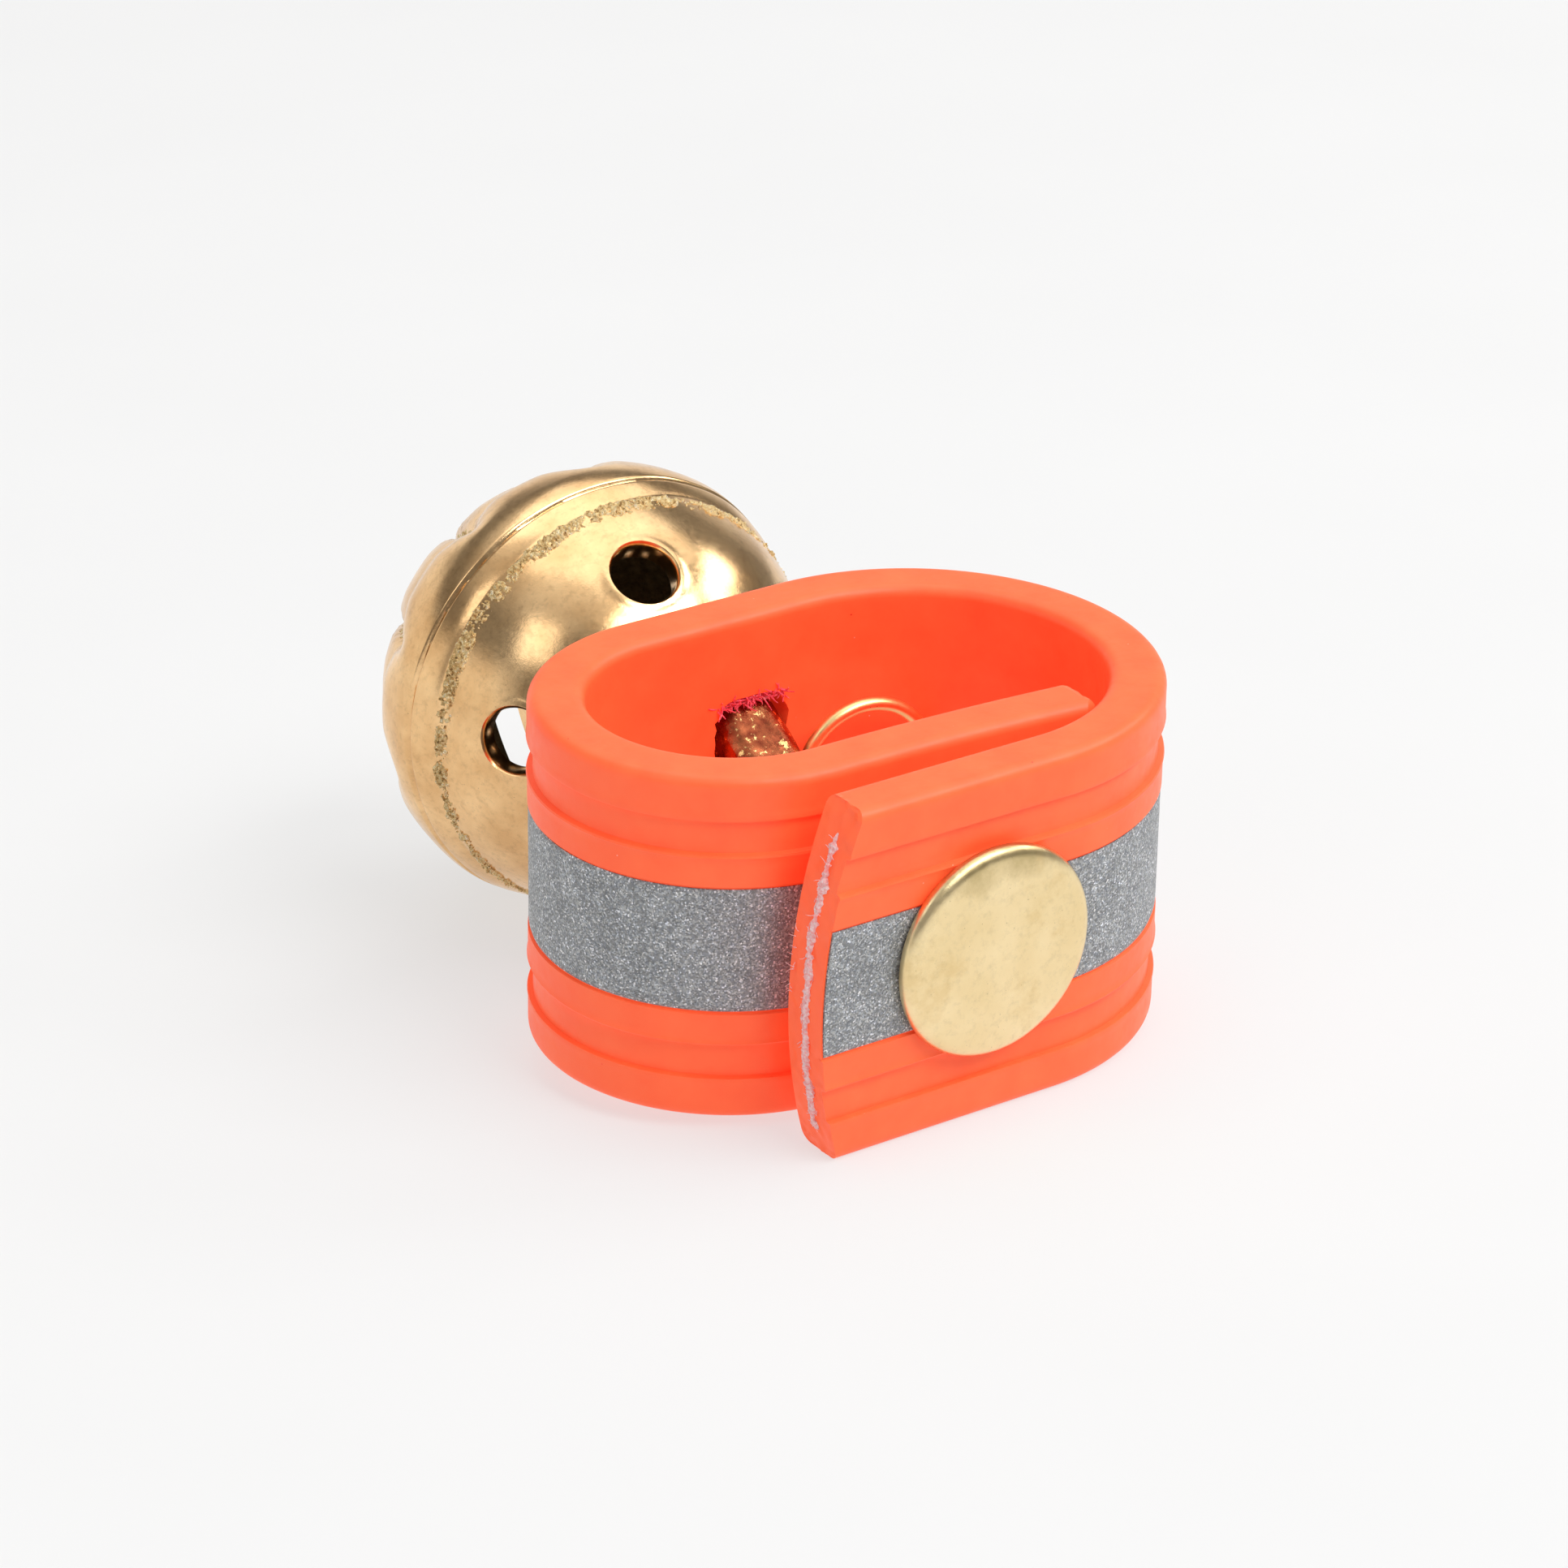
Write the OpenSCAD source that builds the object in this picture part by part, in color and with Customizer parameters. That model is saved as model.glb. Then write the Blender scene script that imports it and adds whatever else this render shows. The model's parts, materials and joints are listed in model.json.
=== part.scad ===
// Single cast bell on a short coated-webbing strap, closed into a loop by a press stud.
//
// The strap frame is used throughout: X runs along the flat back wall of the loop, +Y points
// from the loop to the bell and +Z is across the strap's width. Its origin is level with the
// strap's lower edge, in the middle of the loop, with the bell's axis on X = 0. The last step,
// at_rest(), tips the whole piece so that it stands on the strap's front edge and on the bell.

/* [Strap] */
// Width of the strap
strap_w = 25; // [24:0.5:26]
// Thickness of the strap, coating and webbing together
strap_t = 3.9; // [3.7:0.1:4.1]
// Rounding of the strap's long edges
edge_r = 0.8; // [0.5:0.1:1]
// Outer radius of the closed bend, at the left
small_bend_r = 13.5; // [13:0.1:14]
// Outer radius of the bend that carries the flap, at the right
large_bend_r = 16.7; // [16.5:0.1:17.2]
// How far the closed bend's centre lies left of the bell's axis
small_bend_x = 8.4; // [8:0.1:10]
// How far the large bend's centre lies right of the bell's axis
large_bend_x = 4.8; // [4.6:0.1:6]
// Radius of the slight outward curve of the inner end
inner_run_r = 190; // [170:10:260]
// How far the inner end reaches right of the bell's axis
inner_end_x = 11.6; // [10:0.1:12]
// How far the flap's tip reaches left of the bell's axis
flap_tip_x = 14.4; // [13.5:0.1:15]
// Height of the arc that the flap's end is cut to
flap_bulge = 2.1; // [1.5:0.1:3]
// Height of the flap tip's furthest point over the lower edge
flap_end_z = 10.3; // [9:0.1:12.5]

/* [Webbing and tape] */
// Width of the woven core inside the coating
core_w = 21; // [18:0.5:22]
// Thickness of the woven core
core_t = 1.2; // [0.8:0.1:1.5]
// Width of the reflective tape
tape_w = 9; // [8:0.5:10]
// Thickness of the reflective tape
tape_t = 0.15; // [0.1:0.05:0.2]
// Depth of the recess that the tape lies in
tape_recess = 0.2; // [0.2:0.05:0.3]
// Depth of the groove beside each edge band
groove_depth = 0.25; // [0.1:0.05:0.3]

/* [Slot] */
// Height of the slot's centre over the strap's lower edge
slot_z = 12; // [11.5:0.1:13]
// Length of the slot, across the strap
slot_l = 14.4; // [14.2:0.1:14.8]
// Width of the slot, along the strap
slot_w = 6.4; // [6:0.1:6.8]
// Rounding of the slot's corners
slot_corner_r = 1; // [0.6:0.1:1.2]

/* [Bell] */
// Outer radius of the bell's crown
bell_r = 15.8; // [15.5:0.1:16]
// Outer radius of the bell's bowl
bowl_r = 15; // [14.8:0.1:15.4]
// Radius over the bead between crown and bowl
bead_crest_r = 16.4; // [16.2:0.1:16.6]
// Wall thickness of the bell
bell_wall = 1.8; // [1.6:0.1:2]
// Gap between the crown and the strap
bell_gap = 0.3; // [0.3:0.1:0.6]
// Angle from the crown's pole at which the crown ends and the seam begins
crown_edge = 75; // [74:0.5:76]
// Width of the brazed seam, in degrees of arc
seam_arc = 3; // [2.5:0.5:3.5]
// Diameter of each sound hole in the crown
sound_hole_d = 4.7; // [4:0.1:5]
// Angle from the crown's pole to the sound holes
sound_hole_at = 54; // [50:1:56]
// Number of sound holes in the crown
sound_holes = 5; // [4:1:6]
// Width of the slit in the bowl
slit_w = 3; // [2.5:0.1:3.4]
// Diameter of the round holes at the slit's two ends
slit_end_d = 5.8; // [5.6:0.1:6]
// Angle from the crown's pole to the slit's end holes
slit_end_at = 112; // [110:1:114]
// Diameter of the loose pellet
pellet_d = 8; // [7:0.1:9]

/* [Lug and pin] */
// Height of the lug at its root, across the strap
lug_h = 12.8; // [12:0.1:13]
// Thickness of the lug at its root
lug_t = 5.2; // [4.4:0.1:5.3]
// Thickness of the lug at its tip
lug_tip_t = 4.6; // [3.6:0.1:4.8]
// Distance of the pin's hole from the inside of the strap
pin_stand_off = 2; // [1.8:0.1:2.5]
// Radius of the lug's rounded end, around the pin's hole
lug_end_r = 3.6; // [3:0.1:3.8]
// Diameter of the hole for the pin
pin_hole_d = 3.3; // [3.3:0.1:3.5]
// Diameter of the pin's wire
wire_d = 1; // [0.9:0.05:1]
// Radius of the pin's loop, to the middle of the wire
loop_r = 4.9; // [4.6:0.1:4.9]

/* [Press stud] */
// How far the press stud lies left of the bell's axis
snap_x = 1.1; // [0.5:0.1:2]
// Diameter of the cap
cap_d = 15.1; // [14.5:0.1:15.5]
// Height of the cap over the flap
cap_h = 1.4; // [1.2:0.1:1.6]
// Diameter of the socket
socket_d = 10.4; // [9.8:0.1:11]
// Diameter of the stud's head
stud_d = 4.3; // [4.2:0.05:4.4]
// Diameter of the cap's and the eyelet's barrels
barrel_d = 3; // [2.8:0.1:3.2]

/* [Hidden] */

$fn = 96;
long_arc_fn = 720;

// Reach of half planes, overrun of cutters, and clearance around a seated piece
big = 60;
over = 1;
snug = 0.03;

// Loop: the bends' centres, the inner faces and the flap's living hinge
wall_outer_y = small_bend_r;
wall_inner_y = wall_outer_y - strap_t;
large_bend_y = wall_outer_y - large_bend_r;
flap_inner_y = large_bend_y - large_bend_r + strap_t;
flap_outer_y = flap_inner_y - strap_t;
hinge_angle = asin(1 - strap_t / large_bend_r);
inner_run_y = -small_bend_r - inner_run_r;
inner_turn = asin((inner_end_x + small_bend_x) / inner_run_r);
bend_clearance = 0.3;
flap_end_r = (strap_w * strap_w / 4 + flap_bulge * flap_bulge) / (2 * flap_bulge);

// Edge bands, grooves and ridges beside the tape
mid_z = strap_w / 2;
tape_z = mid_z - tape_w / 2;
edge_band_w = 3.8;
groove_w = 1.6;

// Bell
bell_y = wall_outer_y + bell_gap + bell_r;
bell_in_r = bell_r - bell_wall;
bowl_wall = 1.6;
bowl_in_r = bowl_r - bowl_wall;
shoulder_r = 6;
shoulder_end_at = 121;
bead_at = 91;
bead_groove_at = 86.5;
bead_groove_r = 0.4;
bead_groove_rise = 0.45;
first_sound_hole = 26;
seam_sink = 0.15;
pellet_gap = 0.25;

// Lug and pin
pin_y = wall_inner_y - pin_stand_off;
lug_root = bell_r - bell_wall / 2;
lug_eye = bell_y - pin_y;
lug_tip = lug_eye + lug_end_r;
lug_shoulder = bell_y - wall_inner_y - edge_r;
lug_flank = 27;
pin_yaw = 8;
pin_tilt = 4;
pin_neck_x = 2;
pin_leg_x = -3;
leg_bend_r = 1.2;
leg_gap = 0.05;
neck_bend_r = 1;
joint_d = wire_d + 0.06;

// Press stud, measured outwards from the flap's inner face
snap_z = mid_z;
socket_sink = 0.5;
socket_rise = 1.3;
socket_web = 0.3;
socket_bore_d = stud_d + 0.5;
spring_wire_d = 0.35;
spring_ring_r = 2.22;
stud_plate_d = 8.4;
stud_plate_t = 1.1;
stud_head_t = 0.45;
stud_face_gap = 0.2;
stud_head_gap = 0.15;
stud_wall = 0.3;
spring_gap = 0.05;
spring_arc = 310;
spring_start = 115;
neck_d = stud_d - 0.7;
cap_edge_r = 0.55;
cap_wall = 0.5;
cap_lip = 0.75;
clinch_d = barrel_d + 1;
clinch_t = 0.25;
eyelet_d = 10;
eyelet_t = 0.8;
eyelet_sink = 0.3;
snap_run = small_bend_x - snap_x;
inner_layer_y = inner_run_y + sqrt(pow(inner_run_r, 2) - pow(snap_run, 2));
inner_skin_y = inner_run_y + sqrt(pow(inner_run_r + strap_t, 2) - pow(snap_run, 2));
socket_top_y = flap_inner_y - socket_sink;
socket_floor_y = socket_top_y + socket_web;
socket_face_y = flap_inner_y + socket_rise;
stud_plate_y = socket_face_y + stud_face_gap;
stud_back_y = stud_plate_y + stud_plate_t;
stud_top_y = socket_floor_y + clinch_t + stud_head_gap;
spring_y = stud_top_y + stud_head_t + spring_gap + spring_wire_d / 2;
eyelet_seat_y = inner_skin_y - eyelet_sink;

// Rest pose: the tipped strap frame touches the table at the flap's lower edge and the bell
foot_y = flap_outer_y + edge_r;
tip_angle = asin((bead_crest_r - edge_r) / norm([bell_y - foot_y, slot_z - edge_r]))
    - atan2(slot_z - edge_r, bell_y - foot_y);
lift = edge_r - foot_y * sin(tip_angle) - edge_r * cos(tip_angle);

// Stands the strap frame on the table, with the loop's middle line over the origin
module at_rest() {
    translate([0, lift * tan(tip_angle), lift]) rotate([tip_angle, 0, 0]) children();
}

// ---- Strap sections: X is the distance from the inner face, Y is the height ----

module rounded_section(t, w, r) {
    translate([r, 0]) square([t - 2 * r, w]);
    translate([0, r]) square([t, w - 2 * r]);
    for (x = [r, t - r], y = [r, w - r]) translate([x, y]) circle(r);
}

module groove_section(z) {
    translate([strap_t - groove_depth, z]) square([strap_t, groove_w]);
}

module core_section() {
    translate([(strap_t - core_t) / 2, mid_z - core_w / 2]) square([core_t, core_w]);
}

module tape_section() {
    translate([strap_t - tape_recess, tape_z]) square([tape_t, tape_w]);
}

module coat_section() {
    difference() {
        rounded_section(strap_t, strap_w, edge_r);
        core_section();
        translate([strap_t - tape_recess, tape_z]) square([strap_t, tape_w]);
        groove_section(edge_band_w);
        groove_section(strap_w - edge_band_w - groove_w);
    }
}

// ---- Strap runs: each sweeps its child section, with the outer face to the run's left ----

module straight_run(start, heading, length) {
    translate([start[0], start[1], 0]) rotate([0, 0, heading]) rotate([90, 0, 90])
        linear_extrude(length) children();
}

module bend(centre, inner_r, from, to) {
    translate([centre[0], centre[1], 0])
        rotate_extrude(angle = to - from, start = from) translate([inner_r, 0]) children();
}

// From the inner end, round the closed bend, to the slot
module left_run() {
    intersection() {
        translate([-small_bend_x, inner_run_y, 0])
            rotate_extrude(angle = inner_turn, start = 90 - inner_turn, $fn = long_arc_fn)
                translate([inner_run_r + strap_t, 0]) mirror([1, 0]) children();
        translate([large_bend_x, large_bend_y, -over])
            linear_extrude(strap_w + 2 * over) union() {
                circle(large_bend_r - strap_t - bend_clearance);
                translate([-big, -big / 2]) square([big, big]);
            }
    }
    bend([-small_bend_x, 0], small_bend_r - strap_t, 90, 270) children();
    straight_run([-small_bend_x, wall_inner_y], 0, small_bend_x) children();
}

// From the slot, round the large bend, to the living hinge
module right_run() {
    straight_run([0, wall_inner_y], 0, large_bend_x) children();
    bend([large_bend_x, large_bend_y], large_bend_r - strap_t, -hinge_angle, 90) children();
}

// From the living hinge to the flap's rounded end
module flap_run() {
    bend([large_bend_x, large_bend_y], large_bend_r - strap_t, -90, -hinge_angle) children();
    intersection() {
        straight_run([large_bend_x, flap_inner_y], 180, large_bend_x + flap_tip_x) children();
        translate([flap_end_r - flap_tip_x, 0, flap_end_z]) rotate([90, 0, 0])
            cylinder(h = big, r = flap_end_r);
    }
}

// ---- Cutters ----

// A cylinder on the press stud's axis, from y0 to y1
module snap_cylinder(d, y0, y1) {
    translate([-snap_x, min(y0, y1), snap_z]) rotate([-90, 0, 0])
        cylinder(h = abs(y1 - y0), d = d);
}

module slot_cut() {
    translate([0, wall_outer_y + over, slot_z]) rotate([90, 0, 0])
        linear_extrude(strap_t + 2 * over) {
            square([slot_w, slot_l - 2 * slot_corner_r], center = true);
            square([slot_w - 2 * slot_corner_r, slot_l], center = true);
            for (x = [-1, 1], y = [-1, 1])
                translate([x * (slot_w / 2 - slot_corner_r), y * (slot_l / 2 - slot_corner_r)])
                    circle(slot_corner_r);
        }
}

module band_cuts() {
    slot_cut();
    snap_cylinder(barrel_d + 2 * snug, inner_layer_y - over, inner_skin_y + over);
    snap_cylinder(stud_plate_d + 2 * snug, stud_back_y, stud_plate_y - over);
    snap_cylinder(eyelet_d + 2 * snug, eyelet_seat_y, eyelet_seat_y + eyelet_t + over);
}

module flap_cuts() {
    snap_cylinder(barrel_d + 2 * snug, flap_outer_y - over, flap_inner_y + over);
    snap_cylinder(socket_d + 2 * snug, socket_top_y, flap_inner_y + over);
}

// ---- Strap ----

module strap_band() {
    color("OrangeRed") at_rest() difference() {
        union() {
            left_run() coat_section();
            right_run() coat_section();
        }
        band_cuts();
    }
}

module core_band() {
    color("WhiteSmoke") at_rest() difference() {
        union() {
            left_run() core_section();
            right_run() core_section();
        }
        band_cuts();
    }
}

module tape_left() {
    color("Gray") at_rest() difference() {
        left_run() tape_section();
        band_cuts();
    }
}

module tape_right() {
    color("Gray") at_rest() difference() {
        right_run() tape_section();
        band_cuts();
    }
}

module strap_flap() {
    color("OrangeRed") at_rest() difference() {
        flap_run() coat_section();
        flap_cuts();
    }
}

module core_flap() {
    color("WhiteSmoke") at_rest() difference() {
        flap_run() core_section();
        flap_cuts();
    }
}

module tape_flap() {
    color("Gray") at_rest() difference() {
        flap_run() tape_section();
        flap_cuts();
    }
}

// ---- Press stud ----

module snap_cap() {
    color("Gold") at_rest() {
        translate([-snap_x, flap_outer_y, snap_z]) rotate([90, 0, 0]) difference() {
            union() {
                cylinder(h = cap_h - cap_edge_r, d = cap_d);
                cylinder(h = cap_h, d = cap_d - 2 * cap_edge_r);
                translate([0, 0, cap_h - cap_edge_r]) rotate_extrude()
                    translate([cap_d / 2 - cap_edge_r, 0]) circle(cap_edge_r);
            }
            difference() {
                translate([0, 0, -over])
                    cylinder(h = over + cap_h - cap_wall, d = cap_d - 2 * cap_lip);
                cylinder(h = cap_h, d = clinch_d);
            }
        }
        snap_cylinder(barrel_d, flap_outer_y - cap_wall, socket_floor_y + clinch_t);
        snap_cylinder(clinch_d, socket_floor_y, socket_floor_y + clinch_t);
    }
}

module snap_socket() {
    spring_room = spring_wire_d / 2 + spring_gap;
    color("Goldenrod") at_rest() difference() {
        snap_cylinder(socket_d, socket_top_y, socket_face_y);
        snap_cylinder(socket_bore_d, socket_floor_y, socket_face_y + over);
        snap_cylinder(barrel_d + 2 * snug, socket_top_y - over, socket_face_y);
        snap_cylinder(2 * spring_ring_r + 3 * spring_room, spring_y - spring_room, spring_y + spring_room);
    }
}

module socket_spring() {
    color("Silver") at_rest() translate([-snap_x, spring_y, snap_z]) rotate([90, 0, 0])
        rotate_extrude(angle = spring_arc, start = spring_start)
            translate([spring_ring_r, 0]) circle(d = spring_wire_d);
}

module snap_stud() {
    color("Goldenrod") at_rest() difference() {
        union() {
            snap_cylinder(stud_plate_d, stud_back_y, stud_plate_y);
            snap_cylinder(neck_d, stud_plate_y + stud_wall, stud_top_y);
            snap_cylinder(stud_d, stud_top_y, stud_top_y + stud_head_t);
        }
        snap_cylinder(barrel_d + 2 * snug, stud_back_y + over, stud_top_y + stud_wall);
    }
}

module stud_eyelet() {
    color("Goldenrod") at_rest() {
        snap_cylinder(eyelet_d, eyelet_seat_y, eyelet_seat_y + eyelet_t);
        snap_cylinder(barrel_d, eyelet_seat_y + eyelet_t / 2, stud_top_y + 2 * stud_wall);
    }
}

// ---- Bell: in its own frame, +Z is the crown's pole and +Y is up ----

module bell_place() {
    translate([0, bell_y, slot_z]) rotate([90, 0, 0]) children();
}

// The half plane between two angles from the crown's pole
module polar_wedge(from, to) {
    steps = 4;
    polygon(concat([[0, 0]],
        [for (i = [0:steps]) let (a = from + (to - from) * i / steps) big * [sin(a), cos(a)]]));
}

module polar_point(r, at) {
    translate([r * sin(at), r * cos(at)]) children();
}

module shell_section(r, in_r, from, to) {
    intersection() {
        difference() {
            circle(r);
            circle(in_r);
        }
        polar_wedge(from, to);
    }
}

// The bowl's wall, with a round shoulder that rises to the bead and a groove on its crown side
module bowl_section() {
    seam_end = crown_edge + seam_arc;
    difference() {
        union() {
            shell_section(bowl_r, bowl_in_r, seam_end, 180);
            intersection() {
                polar_point(bead_crest_r - shoulder_r, bead_at) circle(shoulder_r);
                difference() {
                    polar_wedge(seam_end, shoulder_end_at);
                    circle(bowl_in_r);
                }
            }
        }
        polar_point(bell_r + bead_groove_rise, bead_groove_at) circle(bead_groove_r);
    }
}

// A radial drill through the wall, at an angle from the pole and a clock angle around it
module radial_drill(d, at, clock) {
    rotate([0, 0, clock]) rotate([0, at, 0]) translate([0, 0, bell_in_r - 2 * over])
        cylinder(h = bell_wall + 5 * over, d = d);
}

module lug() {
    intersection() {
        rotate([90, 0, 90]) translate([0, 0, -lug_t]) linear_extrude(2 * lug_t) {
            polygon([[-lug_h / 2, lug_root], [lug_h / 2, lug_root],
                     [lug_h / 2, lug_shoulder],
                     [lug_end_r * cos(lug_flank), lug_eye + lug_end_r * sin(lug_flank)],
                     [-lug_end_r * cos(lug_flank), lug_eye + lug_end_r * sin(lug_flank)],
                     [-lug_h / 2, lug_shoulder]]);
            translate([0, lug_eye]) circle(lug_end_r);
        }
        rotate([90, 0, 0]) translate([0, 0, -lug_h]) linear_extrude(2 * lug_h)
            polygon([[-lug_t / 2, lug_root - over], [lug_t / 2, lug_root - over],
                     [lug_tip_t / 2, lug_tip], [-lug_tip_t / 2, lug_tip]]);
    }
}

module bell_crown() {
    color("Peru") at_rest() bell_place() difference() {
        union() {
            rotate_extrude() shell_section(bell_r, bell_in_r, 0, crown_edge);
            lug();
        }
        for (i = [0:sound_holes - 1])
            radial_drill(sound_hole_d, sound_hole_at, first_sound_hole + i * 360 / sound_holes);
        translate([0, 0, lug_eye]) rotate([0, 90 - pin_yaw, 0])
            cylinder(h = 2 * lug_t, d = pin_hole_d, center = true);
        sphere(bell_in_r);
    }
}

module braze_seam() {
    color("Gold") at_rest() bell_place() rotate_extrude()
        shell_section(bell_r - seam_sink, bell_in_r, crown_edge, crown_edge + seam_arc);
}

module bell_bowl() {
    color("Peru") at_rest() bell_place() difference() {
        rotate_extrude() bowl_section();
        for (clock = [90, 270]) radial_drill(slit_end_d, slit_end_at, clock);
        translate([-slit_w / 2, -big / 2, bowl_r * cos(slit_end_at) - big])
            cube([slit_w, big, big]);
    }
}

module pellet() {
    color("DimGray") at_rest() bell_place()
        translate([0, pellet_d / 2 + pellet_gap - bowl_in_r, 0]) sphere(d = pellet_d);
}

// ---- Retaining pin: a wire loop whose two legs pass through the lug and spread ----

// A bend of the wire in the pin's plane, with its centre at [x, z]
module wire_bend(centre, r, from, to) {
    translate([centre[0], 0, centre[1]]) rotate([90, 0, 0])
        rotate_extrude(angle = to - from, start = from) translate([r, 0]) circle(d = wire_d);
}

module retaining_pin() {
    leg_z = wire_d / 2 + leg_gap;
    neck_z = leg_z + neck_bend_r;
    loop_x = pin_neck_x + sqrt(pow(loop_r + neck_bend_r, 2) - neck_z * neck_z);
    neck_turn = atan2(neck_z, loop_x - pin_neck_x);
    color("Gold") at_rest() translate([0, pin_y, slot_z]) rotate([0, -pin_tilt, -pin_yaw]) {
        for (side = [0, 180]) rotate([side, 0, 0]) {
            translate([pin_leg_x, 0, leg_z]) rotate([0, 90, 0])
                cylinder(h = pin_neck_x - pin_leg_x, d = wire_d);
            wire_bend([pin_leg_x, leg_z + leg_bend_r], leg_bend_r, 180, 270);
            wire_bend([pin_neck_x, neck_z], neck_bend_r, -90, -neck_turn);
            translate([loop_x - loop_r * cos(neck_turn), 0, loop_r * sin(neck_turn)])
                sphere(d = joint_d);
        }
        wire_bend([loop_x, 0], loop_r, neck_turn - 180, 180 - neck_turn);
    }
}

strap_band();
core_band();
tape_left();
tape_right();
strap_flap();
core_flap();
tape_flap();
snap_cap();
snap_socket();
socket_spring();
snap_stud();
stud_eyelet();
bell_crown();
braze_seam();
bell_bowl();
pellet();
retaining_pin();
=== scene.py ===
import json
import math
import random

import bmesh
import bpy
from mathutils import Matrix, Vector, noise


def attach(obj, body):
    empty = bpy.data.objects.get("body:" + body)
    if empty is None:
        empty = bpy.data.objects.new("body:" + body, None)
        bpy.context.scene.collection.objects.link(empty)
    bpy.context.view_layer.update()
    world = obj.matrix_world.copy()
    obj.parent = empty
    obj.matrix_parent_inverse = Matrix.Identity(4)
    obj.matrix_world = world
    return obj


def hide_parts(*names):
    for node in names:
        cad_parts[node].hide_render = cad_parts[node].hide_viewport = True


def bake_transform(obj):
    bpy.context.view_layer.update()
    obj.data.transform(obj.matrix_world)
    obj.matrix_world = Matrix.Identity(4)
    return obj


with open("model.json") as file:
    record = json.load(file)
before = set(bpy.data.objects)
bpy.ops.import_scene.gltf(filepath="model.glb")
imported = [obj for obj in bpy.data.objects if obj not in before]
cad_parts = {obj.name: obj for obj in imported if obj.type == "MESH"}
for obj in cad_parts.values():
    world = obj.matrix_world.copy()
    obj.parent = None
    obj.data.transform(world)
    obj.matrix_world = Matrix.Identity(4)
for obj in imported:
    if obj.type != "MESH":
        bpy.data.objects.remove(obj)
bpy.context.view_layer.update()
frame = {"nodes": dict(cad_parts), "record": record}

# ---- Frame of the strap, in millimetres ----
# X runs along the flat back wall, +Y from the loop to the bell, +Z across the strap.

BELL_Y = 29.6
SLOT_Z = 12.0
joints = {j["name"]: j for j in frame["record"]["behaviour"]["joints"]}
strap_up = Vector(joints["flap_hinge"]["axis"]).normalized()
strap_side = Vector((1, 0, 0))
strap_out = strap_up.cross(strap_side)
bell_at = Vector(joints["pellet_roll"]["pos_m"])
origin = bell_at - (strap_out * BELL_Y + strap_up * SLOT_Z) / 1000
turn = Matrix((strap_side, strap_out, strap_up)).transposed().to_4x4()
PLACE = Matrix.Translation(origin) @ turn @ Matrix.Scale(0.001, 4)
# The bell's own frame: +Z is the crown's pole, towards the strap, and +Y is up
BELL = PLACE @ Matrix.Translation((0, BELL_Y, SLOT_Z)) @ Matrix.Rotation(math.radians(90), 4, "X")

# ---- Mesh helpers ----


def add_object(name, mesh):
    obj = bpy.data.objects.new(name, mesh)
    bpy.context.scene.collection.objects.link(obj)
    return obj


def make(name, verts, faces, place=PLACE, material=None, sharp=40, uvs=None):
    """An object from points in millimetres; uvs gives each vertex's place on the unrolled surface."""
    mesh = bpy.data.meshes.new(name)
    mesh.from_pydata([place @ Vector(v) for v in verts], [], faces)
    if uvs:
        layer = mesh.uv_layers.new(name="Unrolled")
        for loop in mesh.loops:
            layer.data[loop.index].uv = uvs[loop.vertex_index]
    mesh.shade_smooth()
    mesh.set_sharp_from_angle(angle=math.radians(sharp))
    if material:
        mesh.materials.append(material)
    mesh.update()
    return add_object(name, mesh)


def grid_faces(rows, cols, closed=False, first=0):
    """Quads over rows of cols points; closed joins each row's ends."""
    faces = []
    for i in range(rows - 1):
        for j in range(cols if closed else cols - 1):
            a = first + i * cols + j
            b = first + i * cols + (j + 1) % cols
            faces.append((a, b, b + cols, a + cols))
    return faces


def lathe(name, profile, place, material, steps=128, sharp=35):
    """A turned part: profile is (radius, height) from one end of the axis to the other."""
    verts = []
    for r, z in profile:
        for j in range(steps):
            a = 2 * math.pi * j / steps
            verts.append((max(r, 1e-4) * math.cos(a), max(r, 1e-4) * math.sin(a), z))
    faces = grid_faces(len(profile), steps, closed=True)
    return make(name, verts, faces, place, material, sharp)


def smooth_step(a, b, x):
    t = min(max((x - a) / (b - a), 0), 1)
    return t * t * (3 - 2 * t)


def apply_modifiers(obj):
    graph = bpy.context.evaluated_depsgraph_get()
    mesh = bpy.data.meshes.new_from_object(obj.evaluated_get(graph))
    obj.modifiers.clear()
    obj.data = mesh


def make_solid(obj):
    """Closes an object's open ends and turns all its faces outwards."""
    bm = bmesh.new()
    bm.from_mesh(obj.data)
    bmesh.ops.holes_fill(bm, edges=bm.edges)
    bmesh.ops.recalc_face_normals(bm, faces=bm.faces)
    if bm.calc_volume(signed=True) < 0:
        bmesh.ops.reverse_faces(bm, faces=bm.faces)
    bm.to_mesh(obj.data)
    bm.free()
    return obj


def cut(obj, cutters):
    for cutter in cutters:
        make_solid(cutter)
        modifier = obj.modifiers.new("cut", "BOOLEAN")
        modifier.operation = "DIFFERENCE"
        modifier.solver = "EXACT"
        modifier.object = cutter
    bpy.context.view_layer.update()
    apply_modifiers(obj)
    for cutter in cutters:
        bpy.data.objects.remove(cutter)


def tube(points, radius, sides=6):
    """Points and faces of a round wire along a path, closed at its ends by a point."""
    verts, faces = [], []
    count = len(points)
    points = [Vector(p) for p in points]
    normal = None
    for i, p in enumerate(points):
        ahead = points[min(i + 1, count - 1)] - points[max(i - 1, 0)]
        ahead.normalize()
        if normal is None:
            normal = ahead.orthogonal().normalized()
        normal = (normal - ahead * normal.dot(ahead)).normalized()
        across = ahead.cross(normal)
        r = radius(i / (count - 1)) if callable(radius) else radius
        for k in range(sides):
            a = 2 * math.pi * k / sides
            verts.append(p + (normal * math.cos(a) + across * math.sin(a)) * r)
    faces = grid_faces(count, sides, closed=True)
    faces.append(tuple(range(sides))[::-1])
    faces.append(tuple(range((count - 1) * sides, count * sides)))
    return verts, faces


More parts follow.
